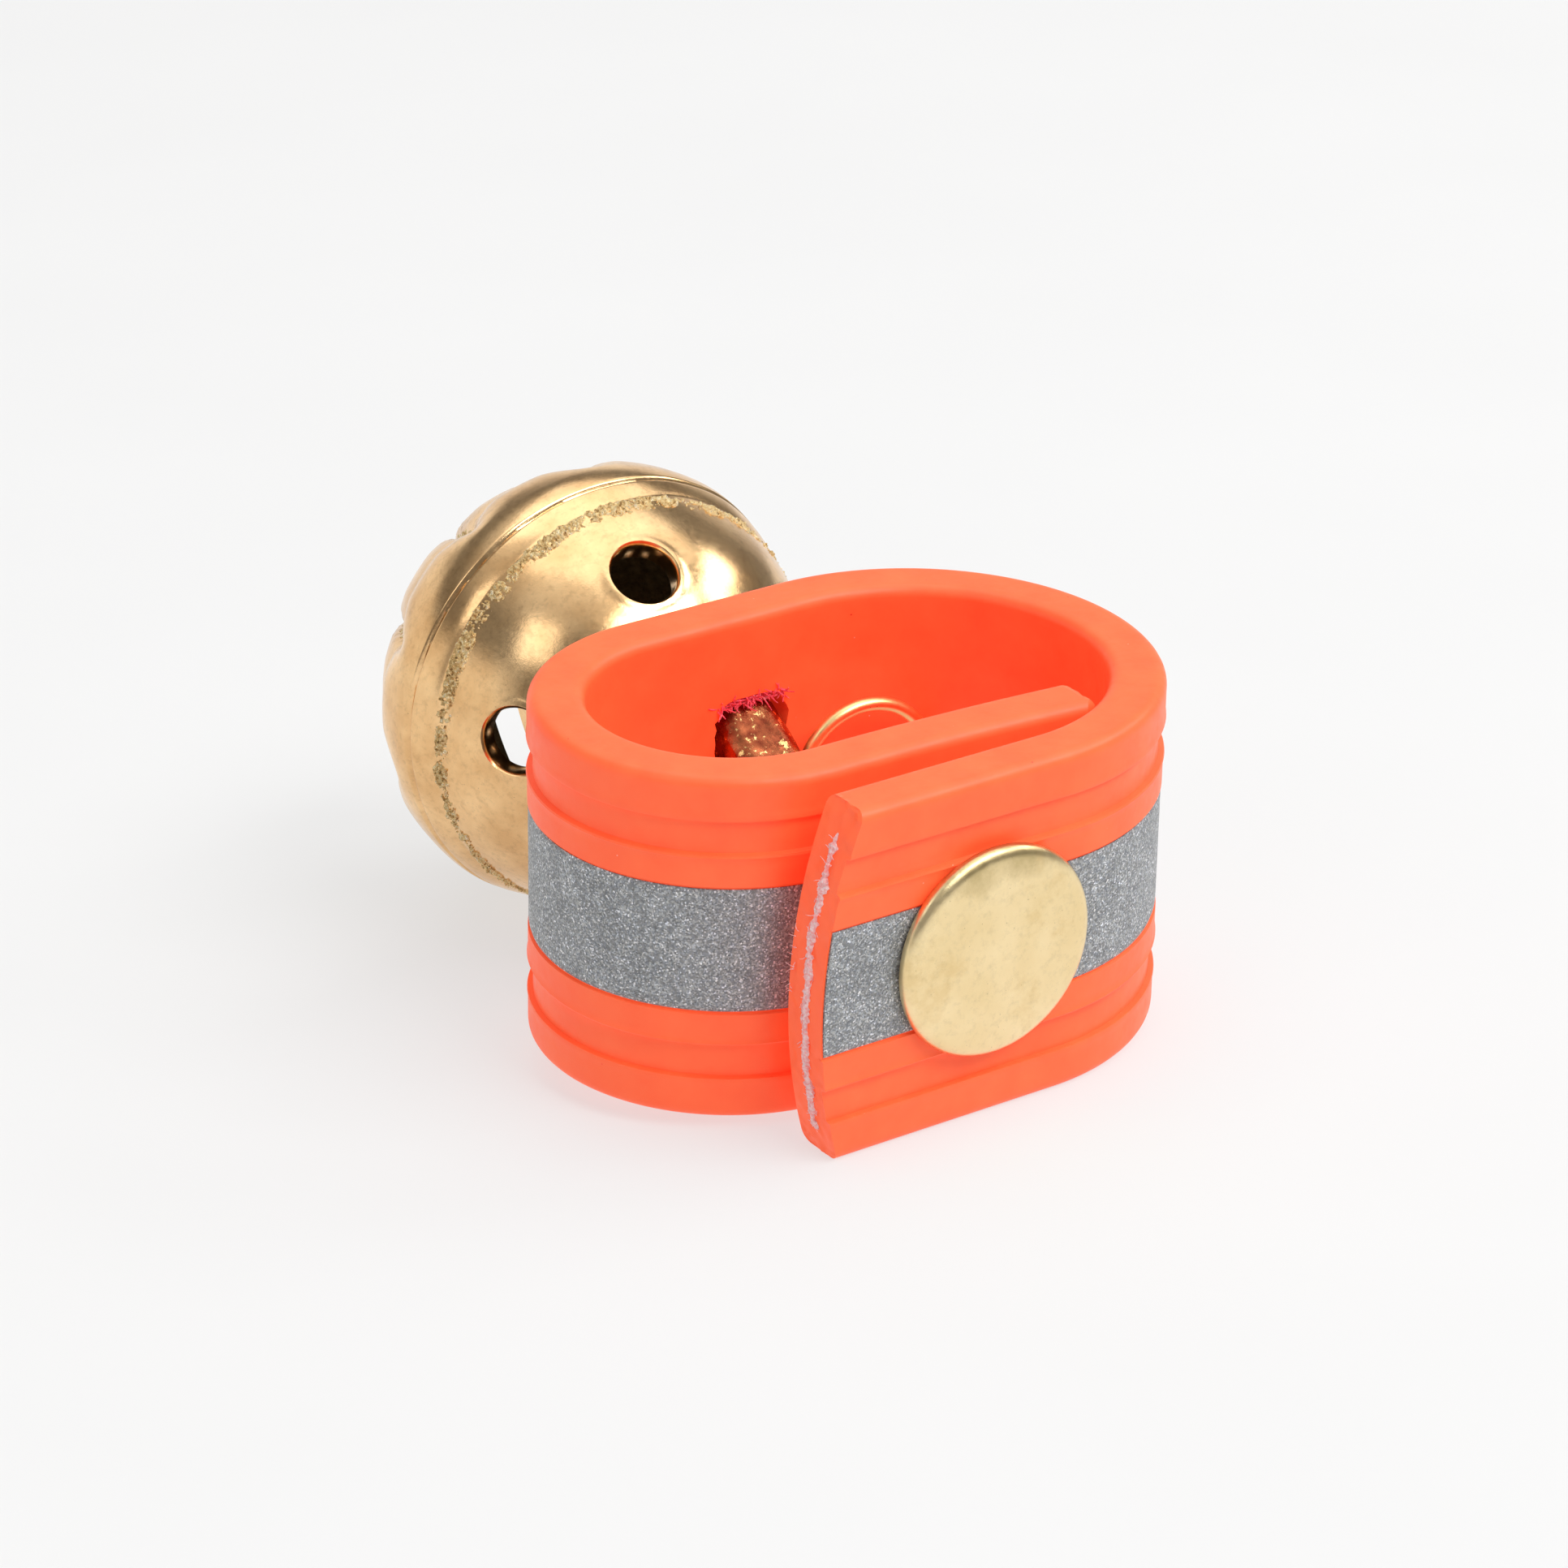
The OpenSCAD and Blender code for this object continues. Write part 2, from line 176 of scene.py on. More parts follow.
def joined(name, parts, place, material, sharp=60):
    """One object from several lists of points and faces."""
    verts, faces = [], []
    for part_verts, part_faces in parts:
        first = len(verts)
        verts += list(part_verts)
        faces += [tuple(first + i for i in face) for face in part_faces]
    return make(name, verts, faces, place, material, sharp)


# ---- Material helpers ----


class Nodes:
    """A material's node tree, built or added to by short calls; the texture space is millimetres."""

    def __init__(self, name, **values):
        self.material = bpy.data.materials.get(name) or bpy.data.materials.new(name)
        self.material.use_nodes = True
        self.tree = self.material.node_tree
        self.shader = self.tree.nodes["Principled BSDF"]
        for key, value in values.items():
            self.shader.inputs[key.replace("_", " ")].default_value = value
        coordinates = self.new("ShaderNodeTexCoord")
        mapping = self.new("ShaderNodeMapping")
        mapping.inputs["Scale"].default_value = (1000, 1000, 1000)
        self.link(coordinates.outputs["Object"], mapping.inputs["Vector"])
        self.mm = mapping.outputs["Vector"]

    def new(self, kind, **settings):
        node = self.tree.nodes.new(kind)
        for key, value in settings.items():
            setattr(node, key, value)
        return node

    def link(self, a, b):
        self.tree.links.new(a, b)

    def stretched(self, scale, source=None):
        node = self.new("ShaderNodeMapping")
        node.inputs["Scale"].default_value = scale
        self.link(source or self.mm, node.inputs["Vector"])
        return node.outputs["Vector"]

    def noise(self, scale, detail=4, rough=0.55, source=None):
        node = self.new("ShaderNodeTexNoise")
        node.inputs["Scale"].default_value = scale
        node.inputs["Detail"].default_value = detail
        node.inputs["Roughness"].default_value = rough
        self.link(source or self.mm, node.inputs["Vector"])
        return node.outputs["Fac"]

    def cells(self, scale, output="Color", feature="F1", source=None):
        node = self.new("ShaderNodeTexVoronoi", feature=feature)
        node.inputs["Scale"].default_value = scale
        self.link(source or self.mm, node.inputs["Vector"])
        return node.outputs[output]

    def ramp(self, source, *stops):
        """Colour or value stops: (position, value or colour)."""
        node = self.new("ShaderNodeValToRGB")
        elements = node.color_ramp.elements
        while len(elements) < len(stops):
            elements.new(0.5)
        for element, (position, value) in zip(elements, stops):
            element.position = position
            element.color = (value, value, value, 1) if isinstance(value, (int, float)) else (*value, 1)
        self.link(source, node.inputs["Fac"])
        return node.outputs["Color"]

    def mix(self, factor, a, b, blend="MIX"):
        node = self.new("ShaderNodeMix", data_type="RGBA", blend_type=blend)
        for socket, value in ((node.inputs[0], factor), (node.inputs[6], a), (node.inputs[7], b)):
            if isinstance(value, bpy.types.NodeSocket):
                self.link(value, socket)
            elif isinstance(value, (int, float)):
                socket.default_value = value
            else:
                socket.default_value = (*value, 1)
        return node.outputs[2]

    def product(self, a, b):
        return self.math("MULTIPLY", a, b)

    def math(self, operation, a, b=0.0):
        node = self.new("ShaderNodeMath", operation=operation)
        for socket, value in ((node.inputs[0], a), (node.inputs[1], b)):
            if isinstance(value, bpy.types.NodeSocket):
                self.link(value, socket)
            else:
                socket.default_value = value
        return node.outputs[0]

    def bump(self, height, strength, distance_mm, after=None):
        node = self.new("ShaderNodeBump")
        node.inputs["Strength"].default_value = strength
        node.inputs["Distance"].default_value = distance_mm / 1000
        self.link(height, node.inputs["Height"])
        if after:
            self.link(after, node.inputs["Normal"])
        return node.outputs["Normal"]

    def set(self, **sockets):
        for key, socket in sockets.items():
            self.link(socket, self.shader.inputs[key.replace("_", " ")])
        return self.material


def coating_material():
    """Fluorescent moulded coating, its fluorescence drawn as a painted red glow: satin, faintly mottled,
    with a few dark specks and pale dust.
    """
    # Painted glow: the red emission stands in for the coating's fluorescence and shines the same in light
    # and in shade.
    n = Nodes("coating", Subsurface_Weight=0.04, Subsurface_Scale=0.001, Emission_Strength=0.20)
    n.shader.inputs["Subsurface Radius"].default_value = (1.0, 0.25, 0.1)
    n.shader.inputs["Specular IOR Level"].default_value = 0.4
    n.shader.inputs["Emission Color"].default_value = (1.0, 0.035, 0.012, 1)
    mottle = n.ramp(n.noise(0.35, 3), (0.3, (0.98, 0.138, 0.040)), (0.7, (1.0, 0.165, 0.050)))
    specks = n.ramp(n.cells(0.55, "Distance"), (0.028, 1.0), (0.045, 0.0))
    rare = n.ramp(n.noise(0.9, 0), (0.60, 0.0), (0.62, 1.0))
    speck = n.mix(n.product(specks, rare), mottle, (0.45, 0.03, 0.012))
    dust_spots = n.ramp(n.cells(0.9, "Distance"), (0.035, 1.0), (0.06, 0.0))
    dust_rare = n.ramp(n.noise(1.3, 0), (0.66, 0.0), (0.68, 1.0))
    dust = n.product(n.product(dust_spots, dust_rare), 0.6)
    colour = n.mix(dust, speck, (1.0, 0.55, 0.42))
    fine = n.bump(n.noise(6.0, 4), 0.12, 0.05)
    relief = n.bump(n.noise(0.5, 2), 0.12, 0.25, after=fine)
    roughness = n.ramp(n.noise(1.2, 4), (0.3, 0.38), (0.75, 0.50))
    return n.set(Base_Color=colour, Roughness=roughness, Normal=relief)


def tape_material():
    """Glass-bead reflective tape: fine bright and dark grains of slightly different hue; the brightest
    grains are painted glints of the beads.
    """
    n = Nodes("tape", Metallic=0.35)
    # Painted glint: the near-white top stop of this grain ramp puts the beads' sparkle into the colour.
    grain = n.ramp(n.cells(9.0), (0.1, (0.17, 0.175, 0.18)), (0.5, (0.28, 0.29, 0.295)),
                   (0.78, (0.48, 0.49, 0.495)), (0.92, (0.86, 0.86, 0.88)))
    clumps = n.ramp(n.noise(0.6, 3, 0.5), (0.35, 0.92), (0.65, 1.12))
    colour = n.mix(1.0, grain, clumps, "MULTIPLY")
    blue = n.ramp(n.noise(5.0, 2), (0.4, (1.0, 0.98, 0.95)), (0.65, (0.94, 0.98, 1.06)))
    colour = n.mix(1.0, colour, blue, "MULTIPLY")
    rough = n.ramp(n.cells(13.0, "Color"), (0.2, 0.35), (0.8, 0.65))
    bump = n.bump(n.cells(9.0, "Distance"), 0.35, 0.05)
    return n.set(Base_Color=colour, Roughness=rough, Normal=bump)


def webbing_material():
    """Cut woven core: white yarn ends stained pink by the coating."""
    n = Nodes("webbing", Roughness=0.8)
    # Painted glow: a faint pink emission makes the cut yarn shine by itself.
    n.shader.inputs["Emission Color"].default_value = (1.0, 0.2, 0.2, 1)
    n.shader.inputs["Emission Strength"].default_value = 0.08
    yarn = n.ramp(n.noise(5.0, 5, 0.7), (0.3, (0.95, 0.25, 0.22)), (0.5, (0.95, 0.60, 0.60)),
                  (0.68, (0.97, 0.93, 0.93)))
    bump = n.bump(n.noise(12.0, 5, 0.7), 0.8, 0.12)
    return n.set(Base_Color=yarn, Normal=bump)


def yarn_material():
    """Torn yarn at the slot, dyed by the coating."""
    n = Nodes("pink_yarn", Roughness=0.7)
    # Painted glow: a faint pink emission makes the torn yarn shine by itself.
    n.shader.inputs["Emission Color"].default_value = (1.0, 0.1, 0.15, 1)
    n.shader.inputs["Emission Strength"].default_value = 0.06
    yarn = n.ramp(n.noise(1.5, 4, 0.7), (0.35, (0.70, 0.03, 0.05)), (0.55, (0.85, 0.10, 0.16)),
                  (0.68, (0.95, 0.45, 0.50)))
    return n.set(Base_Color=yarn, Normal=n.bump(n.noise(12.0, 4, 0.7), 0.6, 0.08))


def brass(name, light, dark, roughness, patina, scratches, mottle=0.22):
    """Worn brass: hue mottling, dark tarnish specks, fine scratches and uneven gloss."""
    n = Nodes(name, Metallic=1.0)
    broad = n.ramp(n.noise(mottle, 4, 0.6), (0.32, dark), (0.66, light))
    tarnish = n.ramp(n.noise(1.7, 6, 0.7), (0.50, 0.0), (0.72, patina))
    colour = n.mix(tarnish, broad, tuple(0.45 * c for c in dark))
    specks = n.ramp(n.cells(2.6, "Distance"), (0.06, 1.0), (0.10, 0.0))
    rare = n.ramp(n.noise(1.9, 1), (0.56, 0.0), (0.60, 1.0))
    pits = n.product(n.product(specks, rare), 0.7)
    colour = n.mix(pits, colour, tuple(0.3 * c for c in dark))
    low, high = roughness
    gloss = n.ramp(n.noise(2.5, 5, 0.65), (0.3, low), (0.75, high))
    lines = n.noise(1.0, 5, 0.6, n.stretched((9.0, 0.5, 9.0)))
    lines_other = n.noise(1.0, 5, 0.6, n.stretched((0.6, 8.0, 5.0)))
    bump = n.bump(lines, scratches, 0.02)
    bump = n.bump(lines_other, scratches, 0.02, after=bump)
    bump = n.bump(n.noise(3.5, 5), scratches * 0.8, 0.05, after=bump)
    return n.set(Base_Color=colour, Roughness=gloss, Normal=bump)


def cap_material():
    """The stud's cap: pale worn brass with a painted dark olive reflection in a band under its upper rim
    and a darker patch.
    """
    worn = brass("stud_brass", (0.98, 0.80, 0.48), (0.88, 0.69, 0.37), (0.27, 0.38), 0.22,
                 scratches=0.22, mottle=0.176)
    n = Nodes(worn.name)
    split = n.new("ShaderNodeSeparateXYZ")
    n.link(n.mm, split.inputs[0])
    colour = n.shader.inputs["Base Color"].links[0].from_socket
    # Painted dark reflection: by world height, a band near the top of the cap is mixed towards dark olive,
    # where the domed rim faces the dark room.
    uneven = n.product(n.noise(0.5, 4, 0.6), 4.0)
    height = n.product(n.math("ADD", split.outputs["Z"], uneven), 0.04)
    rim = n.ramp(height, (0.76, 0.0), (0.85, 0.8))
    colour = n.mix(rim, colour, (0.50, 0.38, 0.17))
    patch = n.ramp(n.noise(0.22, 5, 0.65), (0.56, 0.0), (0.66, 0.35))
    return n.set(Base_Color=n.mix(patch, colour, (0.72, 0.50, 0.20)))


def braze_material():
    """Rough bright filler metal, with dark flux left in its hollows."""
    n = Nodes("braze", Metallic=0.8)
    grain = n.noise(3.4, 6, 0.75)
    colour = n.ramp(grain, (0.36, (0.20, 0.11, 0.04)), (0.44, (0.72, 0.47, 0.19)),
                    (0.53, (1.0, 0.80, 0.42)), (0.64, (1.0, 0.93, 0.74)))
    rough = n.ramp(grain, (0.4, 0.6), (0.6, 0.25))
    bump = n.bump(grain, 1.0, 0.25)
    return n.set(Base_Color=colour, Roughness=rough, Normal=bump)


def lug_material():
    """The lug: polished casting, its dark red-brown colour a painted reflection of the red strap around it,
    with gold flecks rubbed bright in a slanting band.
    """
    n = Nodes("lug_brass", Metallic=1.0)
    flecks = n.ramp(n.noise(1.5, 6, 0.75, n.stretched((1.0, 1.0, 0.7))), (0.58, 0.0), (0.61, 1.0))
    # Painted reflection: this dark red-brown body colour stands for the red strap mirrored in the polished
    # metal.
    body = n.ramp(n.noise(0.8, 4), (0.35, (0.16, 0.03, 0.015)), (0.65, (0.42, 0.12, 0.05)))
    colour = n.mix(flecks, body, (1.0, 0.74, 0.30))
    rough = n.ramp(n.noise(1.8, 5), (0.3, 0.16), (0.7, 0.36))
    bump = n.bump(n.noise(1.4, 5, 0.6), 0.4, 0.12)
    return n.set(Base_Color=colour, Roughness=rough, Normal=bump)


def dark_inside_material():
    """Unpolished inside of the casting."""
    n = Nodes("bell_inside", Metallic=0.9)
    colour = n.ramp(n.noise(1.1, 6, 0.7), (0.3, (0.07, 0.045, 0.02)), (0.7, (0.22, 0.15, 0.07)))
    rough = n.ramp(n.noise(2.5, 4), (0.3, 0.5), (0.7, 0.75))
    bump = n.bump(n.noise(2.0, 6, 0.7), 0.8, 0.2)
    return n.set(Base_Color=colour, Roughness=rough, Normal=bump)


def steel_material():
    """Plain dull steel of the pellet and the socket's spring."""
    n = Nodes("steel", Metallic=1.0)
    colour = n.ramp(n.noise(1.4, 6, 0.7), (0.35, (0.20, 0.19, 0.18)), (0.65, (0.46, 0.46, 0.47)))
    rough = n.ramp(n.noise(3.0, 5), (0.3, 0.3), (0.7, 0.55))
    bump = n.bump(n.noise(4.0, 5), 0.5, 0.05)
    return n.set(Base_Color=colour, Roughness=rough, Normal=bump)


coating = coating_material()
tape_skin = tape_material()
webbing = webbing_material()
pink_yarn = yarn_material()
bell_brass = brass("bell_brass", (0.96, 0.64, 0.33), (0.76, 0.46, 0.21), (0.16, 0.26), 0.32, 0.10)
cap_brass = cap_material()
pin_brass = brass("pin_brass", (1.0, 0.80, 0.38), (0.90, 0.66, 0.28), (0.32, 0.42), 0.10, 0.06)
braze = braze_material()
lug_brass = lug_material()
inside_brass = dark_inside_material()
steel = steel_material()

# ---- Strap ----

STRAP_W, STRAP_T, EDGE_R = 25.0, 3.9, 0.8
MID_Z = STRAP_W / 2
SMALL_BEND, SMALL_IN = (-8.4, 0.0), 9.6
LARGE_BEND, LARGE_IN = (4.8, -3.2), 12.8
INNER_RUN, INNER_SKIN = (-8.4, -203.5), 193.9
FLAP_Y = -16.0
SEAM_X = 4.0
TIP_X, TIP_Z, TIP_R = -14.4, 10.3, 37.8
INNER_END_X, INNER_END_R = 11.6, 12.45
# Depth below the outer face at each height from the strap's middle line
TAPE_BED_RELIEF = ((0, 0.22), (4.62, 0.22), (4.70, 0.02))
RIDGE_RELIEF = ((6.6, 0.02), (6.80, -0.06), (6.94, 0.0))
GROOVE_RELIEF = ((7.06, 0.36), (7.4, 0.42), (8.6, 0.36), (9.36, 0.34))
EDGE_BAND_RELIEF = ((9.44, -0.02), (9.56, -0.06), (9.9, 0.0), (12.5, 0.0))
RELIEF = TAPE_BED_RELIEF + RIDGE_RELIEF + GROOVE_RELIEF + EDGE_BAND_RELIEF


def relief(z):
    """Depth of the outer face's bands and grooves at height z."""
    h = abs(z - MID_Z)
    for (h0, d0), (h1, d1) in zip(RELIEF, RELIEF[1:]):
        if h <= h1:
            return d0 + (d1 - d0) * (h - h0) / (h1 - h0)
    return 0.0


def edge_inset(z):
    """How far the rounded edge draws in each face at height z."""
    d = min(z, STRAP_W - z)
    return EDGE_R - math.sqrt(max(EDGE_R ** 2 - (EDGE_R - d) ** 2, 0)) if d < EDGE_R else 0.0


def strap_heights():
    marks = {MID_Z}
    for h, _ in RELIEF[:-1]:
        marks |= {MID_Z - h, MID_Z + h}
    for d in (0, 0.03, 0.1, 0.2, 0.33, 0.5, 0.65, 0.8):
        marks |= {d, STRAP_W - d}
    ordered = sorted(round(m, 4) for m in marks)
    full = [ordered[0]]
    for a, b in zip(ordered, ordered[1:]):
        if b - a < 1e-3:
            continue
        steps = max(1, math.ceil((b - a) / 0.4))
        full += [a + (b - a) * i / steps for i in range(1, steps + 1)]
    return full


HEIGHTS = strap_heights()
DEPTH_STEPS = 12


def section_ring():
    """The strap's section, from the outer face over the top and round, as (depth share, height) pairs."""
    ring = [(1.0, z) for z in HEIGHTS]
    ring += [(1 - i / DEPTH_STEPS, STRAP_W) for i in range(1, DEPTH_STEPS)]
    ring += [(0.0, z) for z in reversed(HEIGHTS)]
    ring += [(i / DEPTH_STEPS, 0.0) for i in range(1, DEPTH_STEPS)]
    return ring


def depth(share, z):
    """Distance from the inner face, for a share of the way through at height z."""
    inner = edge_inset(z)
    outer = STRAP_T - edge_inset(z) - relief(z)
    return inner + (outer - inner) * share


def on_arc(centre, radius, degrees, t, inward=False):
    a = math.radians(degrees)
    r = radius - t if inward else radius + t
    return centre[0] + r * math.cos(a), centre[1] + r * math.sin(a)


def inner_run(u, t, z):
    """From the inner end (u = 0) to the closed bend (u = 1)."""
    near_end = 17
    y = INNER_RUN[1] + math.sqrt((INNER_SKIN - t) ** 2 - near_end ** 2)
    reach = LARGE_BEND[0] + math.sqrt(max(INNER_END_R ** 2 - (y - LARGE_BEND[1]) ** 2, 0))
    rounding = 0.9 * (1 - smooth_step(0, 0.9, t)) ** 2
    end_x = min(INNER_END_X, reach) - edge_inset(z) - rounding
    end = math.degrees(math.acos((end_x - INNER_RUN[0]) / (INNER_SKIN - t)))
    x, y = on_arc(INNER_RUN, INNER_SKIN, end + (90 - end) * u, t, inward=True)
    return x, y


def tip_x(z):
    """The flap's end: a shallow hollow arc across the strap."""
    return TIP_X + TIP_R - math.sqrt(TIP_R ** 2 - (z - TIP_Z) ** 2)


def small_bend(u, t, z):
    return on_arc(SMALL_BEND, SMALL_IN, 270 - 180 * u, t)


def large_bend(u, t, z):
    return on_arc(LARGE_BEND, LARGE_IN, 90 - 180 * u, t)


def flap_run(u, t, z):
    return LARGE_BEND[0] + (tip_x(z) - LARGE_BEND[0]) * u, FLAP_Y - t


def stations(*runs):
    """Each run is (function, steps, length); each station is (function, share of its run, distance)."""
    out, done = [], 0.0
    for k, (function, steps, length) in enumerate(runs):
        for i in range(0 if k == 0 else 1, steps + 1):
            out.append((function, i / steps, done + length * i / steps))
        done += length
    return out


def wall_run(x0, x1):
    """The flat back wall between two x."""
    return lambda u, t, z: (x0 + (x1 - x0) * u, SMALL_IN + t)


def cap_faces(first, ring_index, outward):
    """Closes one end of the swept section with rows across its depth."""
    rows = len(HEIGHTS)
    top = rows + DEPTH_STEPS - 1
    verts, faces, index = [], [], {}
    for i in range(rows):
        for j in range(DEPTH_STEPS + 1):
            if j == DEPTH_STEPS:
                index[i, j] = ring_index + i
            elif j == 0:
                index[i, j] = ring_index + top + (rows - 1 - i)
            elif i == rows - 1:
                index[i, j] = ring_index + rows + (DEPTH_STEPS - 1 - j)
            elif i == 0:
                index[i, j] = ring_index + top + rows + (j - 1)
            else:
                index[i, j] = first + len(verts)
                verts.append((j / DEPTH_STEPS, HEIGHTS[i]))
    for i in range(rows - 1):
        for j in range(DEPTH_STEPS):
            quad = (index[i, j], index[i, j + 1], index[i + 1, j + 1], index[i + 1, j])
            faces.append(quad if outward else quad[::-1])
    return verts, faces


def sweep(name, path, cap_start=False, cap_end=False, rough=0.0):
    """The strap's section carried along a path; rough is how far a cut end is uneven."""
    ring = section_ring()
    verts, uvs = [], []
    for function, u, s in path:
        for share, z in ring:
            t = depth(share, z)
            x, y = function(u, t, z)
            verts.append((x, y, z))
            uvs.append((s / 100, z / 100))
    faces = grid_faces(len(path), len(ring), closed=True)

    def cap(station, ring_index, outward):
        function, u, s = station
        inner, closing = cap_faces(len(verts), ring_index, outward)
        for share, z in inner:
            t = depth(share, z)
            x, y = function(u, t, z)
            wobble = noise.fractal(Vector((z * 1.1, t * 1.6, 3.0)), 0.8, 2.0, 5)
            x += rough * wobble
            verts.append((x, y, z))
            uvs.append((s / 100, z / 100))
        faces.extend(closing)

    if cap_start:
        cap(path[0], 0, True)
    if cap_end:
        cap(path[-1], (len(path) - 1) * len(ring), False)
    return make(name, verts, faces, PLACE, coating, 32, uvs)


loop_path = stations((inner_run, 44, 20), (small_bend, 72, 36), (wall_run(SMALL_BEND[0], SEAM_X), 28, 12.4))
wrap_path = stations((wall_run(SEAM_X, LARGE_BEND[0]), 2, 0.8), (large_bend, 84, 46), (flap_run, 48, 18))
strap_loop = sweep("strap_loop", loop_path, cap_start=True, rough=0.1)
strap_wrap = sweep("strap_wrap", wrap_path, cap_end=True, rough=0.16)

# The slot for the lug, with slightly torn ends
SLOT_HALF_W, SLOT_HALF_H, SLOT_STEPS = 2.95, 6.8, 72
slot_outline = []
for i in range(SLOT_STEPS):
    a = 2 * math.pi * i / SLOT_STEPS
    x = SLOT_HALF_W * max(-1, min(1, 1.45 * math.cos(a)))
    z = SLOT_HALF_H * max(-1, min(1, 1.12 * math.sin(a)))
    wobble = 0.12 * noise.noise(Vector((x * 1.3, z * 1.3, 7.7)))
    slot_outline.append((x * (1 + wobble), SLOT_Z + z + wobble))
slot_verts = [(x, y, z) for y in (SMALL_IN - 1, SMALL_IN + STRAP_T + 1) for x, z in slot_outline]
slot_faces = grid_faces(2, SLOT_STEPS, closed=True)
slot_faces += [tuple(range(SLOT_STEPS))[::-1], tuple(range(SLOT_STEPS, 2 * SLOT_STEPS))]
slot_cutter = make("slot_cutter", slot_verts, slot_faces, PLACE, coating)
cut(strap_loop, [slot_cutter])
strap_loop.data.set_sharp_from_angle(angle=math.radians(32))

# ---- Tape ----

TAPE_LOW, TAPE_HIGH, TAPE_BED, TAPE_T = 8.02, 16.98, 3.68, 0.15


def tape_strip(name, path):
    """The tape as a thin closed strip lying in its bed, its edges turned down slightly."""
    across = 28
    verts, uvs = [], []
    ring = [(TAPE_T, i / across) for i in range(across + 1)]
    ring += [(0.0, i / across) for i in range(across, -1, -1)]
    for function, u, s in path:
        for rise, v in ring:
            z = TAPE_LOW + (TAPE_HIGH - TAPE_LOW) * v
            edge = min(v, 1 - v) * (TAPE_HIGH - TAPE_LOW)
            lift = rise * (0.35 + 0.65 * smooth_step(0, 0.25, edge)) if rise else 0.0
            lift += 0.012 * noise.noise(Vector((s * 0.5, z * 0.5, 1.0))) if rise else 0.0
            x, y = function(u, TAPE_BED + lift, z)
            verts.append((x, y, z))
            uvs.append((s / 100, z / 100))
    count = len(ring)
    faces = grid_faces(len(path), count, closed=True)
    faces += [tuple(range(count)), tuple(range((len(path) - 1) * count, len(path) * count))[::-1]]
    return make(name, verts, faces, PLACE, tape_skin, 50, uvs)


TAPE_SETBACK = 3.0
tape_loop = tape_strip("tape_loop", stations(
    (lambda u, t, z: inner_run(0.06 + 0.94 * u, t, z), 40, 19), (small_bend, 72, 36),
    (wall_run(SMALL_BEND[0], -TAPE_SETBACK), 8, 5.4)))
tape_wrap = tape_strip("tape_wrap", stations(
    (wall_run(TAPE_SETBACK, LARGE_BEND[0]), 4, 1.8), (large_bend, 84, 46),
    (lambda u, t, z: flap_run(0.992 * u, t, z), 48, 18)))

# ---- Cut woven core at the flap's end, and loose fibres ----

random.seed(11)


def end_streak():
    """The core's cut edge: a ragged pale strip standing on the flap's end face."""
    rows, cols = 240, 12
    verts = []
    for i in range(rows + 1):
        z = 1.4 + (23.4 - 1.4) * i / rows
        swing = 0.2 * noise.noise(Vector((z * 0.35, 0, 5.0)))
        width = 0.36 + 0.32 * noise.noise(Vector((z * 0.9, 2.0, 0)))
        width += 0.35 * noise.noise(Vector((z * 3.5, 4.0, 0)))
        gap = smooth_step(-0.42, -0.22, noise.noise(Vector((z * 0.55, 9.0, 0.3))))
        width = max(width * (0.25 + 0.75 * gap), 0.06)
        fade = smooth_step(1.4, 2.2, z) * (1 - smooth_step(22.5, 23.4, z))
        centre = STRAP_T * 0.5 + 0.05 + swing
        for j in range(cols + 1):
            v = j / cols * 2 - 1
            t = centre + v * width
            t = min(max(t, 0.5), STRAP_T - 0.5)
            proud = (1 - v * v) * 0.22 * fade + 0.12 * noise.fractal(Vector((z * 3, t * 3, 1)), 0.7, 2.0, 4)
            x = tip_x(z) - max(proud, 0.0) * fade + 0.10 * (1 - fade) + (0.12 if abs(v) == 1 else -0.02)
            verts.append((x, FLAP_Y - t, z))
    return verts, [f[::-1] for f in grid_faces(rows + 1, cols + 1)]


def fibre(start, heading, length, radius, curl):
    points, direction = [Vector(start)], Vector(heading).normalized()
    bend = Vector((random.uniform(-1, 1), random.uniform(-1, 1), random.uniform(-1, 1))) * curl
    for _ in range(7):
        direction = (direction + bend * 0.25).normalized()
        points.append(points[-1] + direction * length / 7)
    return tube(points, lambda u: radius * (1 - 0.6 * u), 5)


end_parts = [end_streak()]
for _ in range(70):
    z = random.uniform(1.8, 22.8)
    t = STRAP_T * 0.5 + 0.05 + random.uniform(-0.5, 0.5)
    heading = (random.uniform(-0.5, 0.1), random.uniform(-0.5, 0.5),
               random.choice((-1, 1)) * random.uniform(0.5, 1))
    end_parts.append(fibre((tip_x(z) - 0.06, FLAP_Y - t, z), heading, random.uniform(0.3, 0.9), 0.035, 0.8))
for _ in range(14):
    z = random.uniform(9.0, 17.0)
    start = (tip_x(z) - 0.05, FLAP_Y - random.uniform(0.1, 0.6), z)
    end_parts.append(fibre(start, (-1, 0.3, random.uniform(-1, 1)), random.uniform(0.3, 0.7), 0.03, 1.2))
flap_core = joined("flap_core", end_parts, PLACE, webbing)

slot_parts = []
for _ in range(380):
    side = random.uniform(-1, 1)
    top = random.random() < 0.8
    x = 2.7 * side
    z = SLOT_Z + (6.65 if top else -6.65) + random.uniform(-0.3, 0.15) * (1 if top else -1)
    heading = (random.uniform(-0.9, 0.9), random.uniform(-1.0, -0.1),
               random.uniform(-0.8, 0.3) * (1 if top else -1))
    start = (x, SMALL_IN + random.uniform(-0.02, 1.8), z)
    slot_parts.append(fibre(start, heading, random.uniform(0.4, 1.2), 0.08, 1.3))
slot_fibres = joined("slot_fibres", slot_parts, PLACE, pink_yarn)

# ---- Press stud ----

SNAP_X, SNAP_Z, FLAP_OUT = -1.1, MID_Z, -19.9
CAP_D, CAP_H = 15.1, 1.4
SNAP = PLACE @ Matrix.Translation((SNAP_X, FLAP_OUT, SNAP_Z)) @ Matrix.Rotation(math.radians(90), 4, "X")


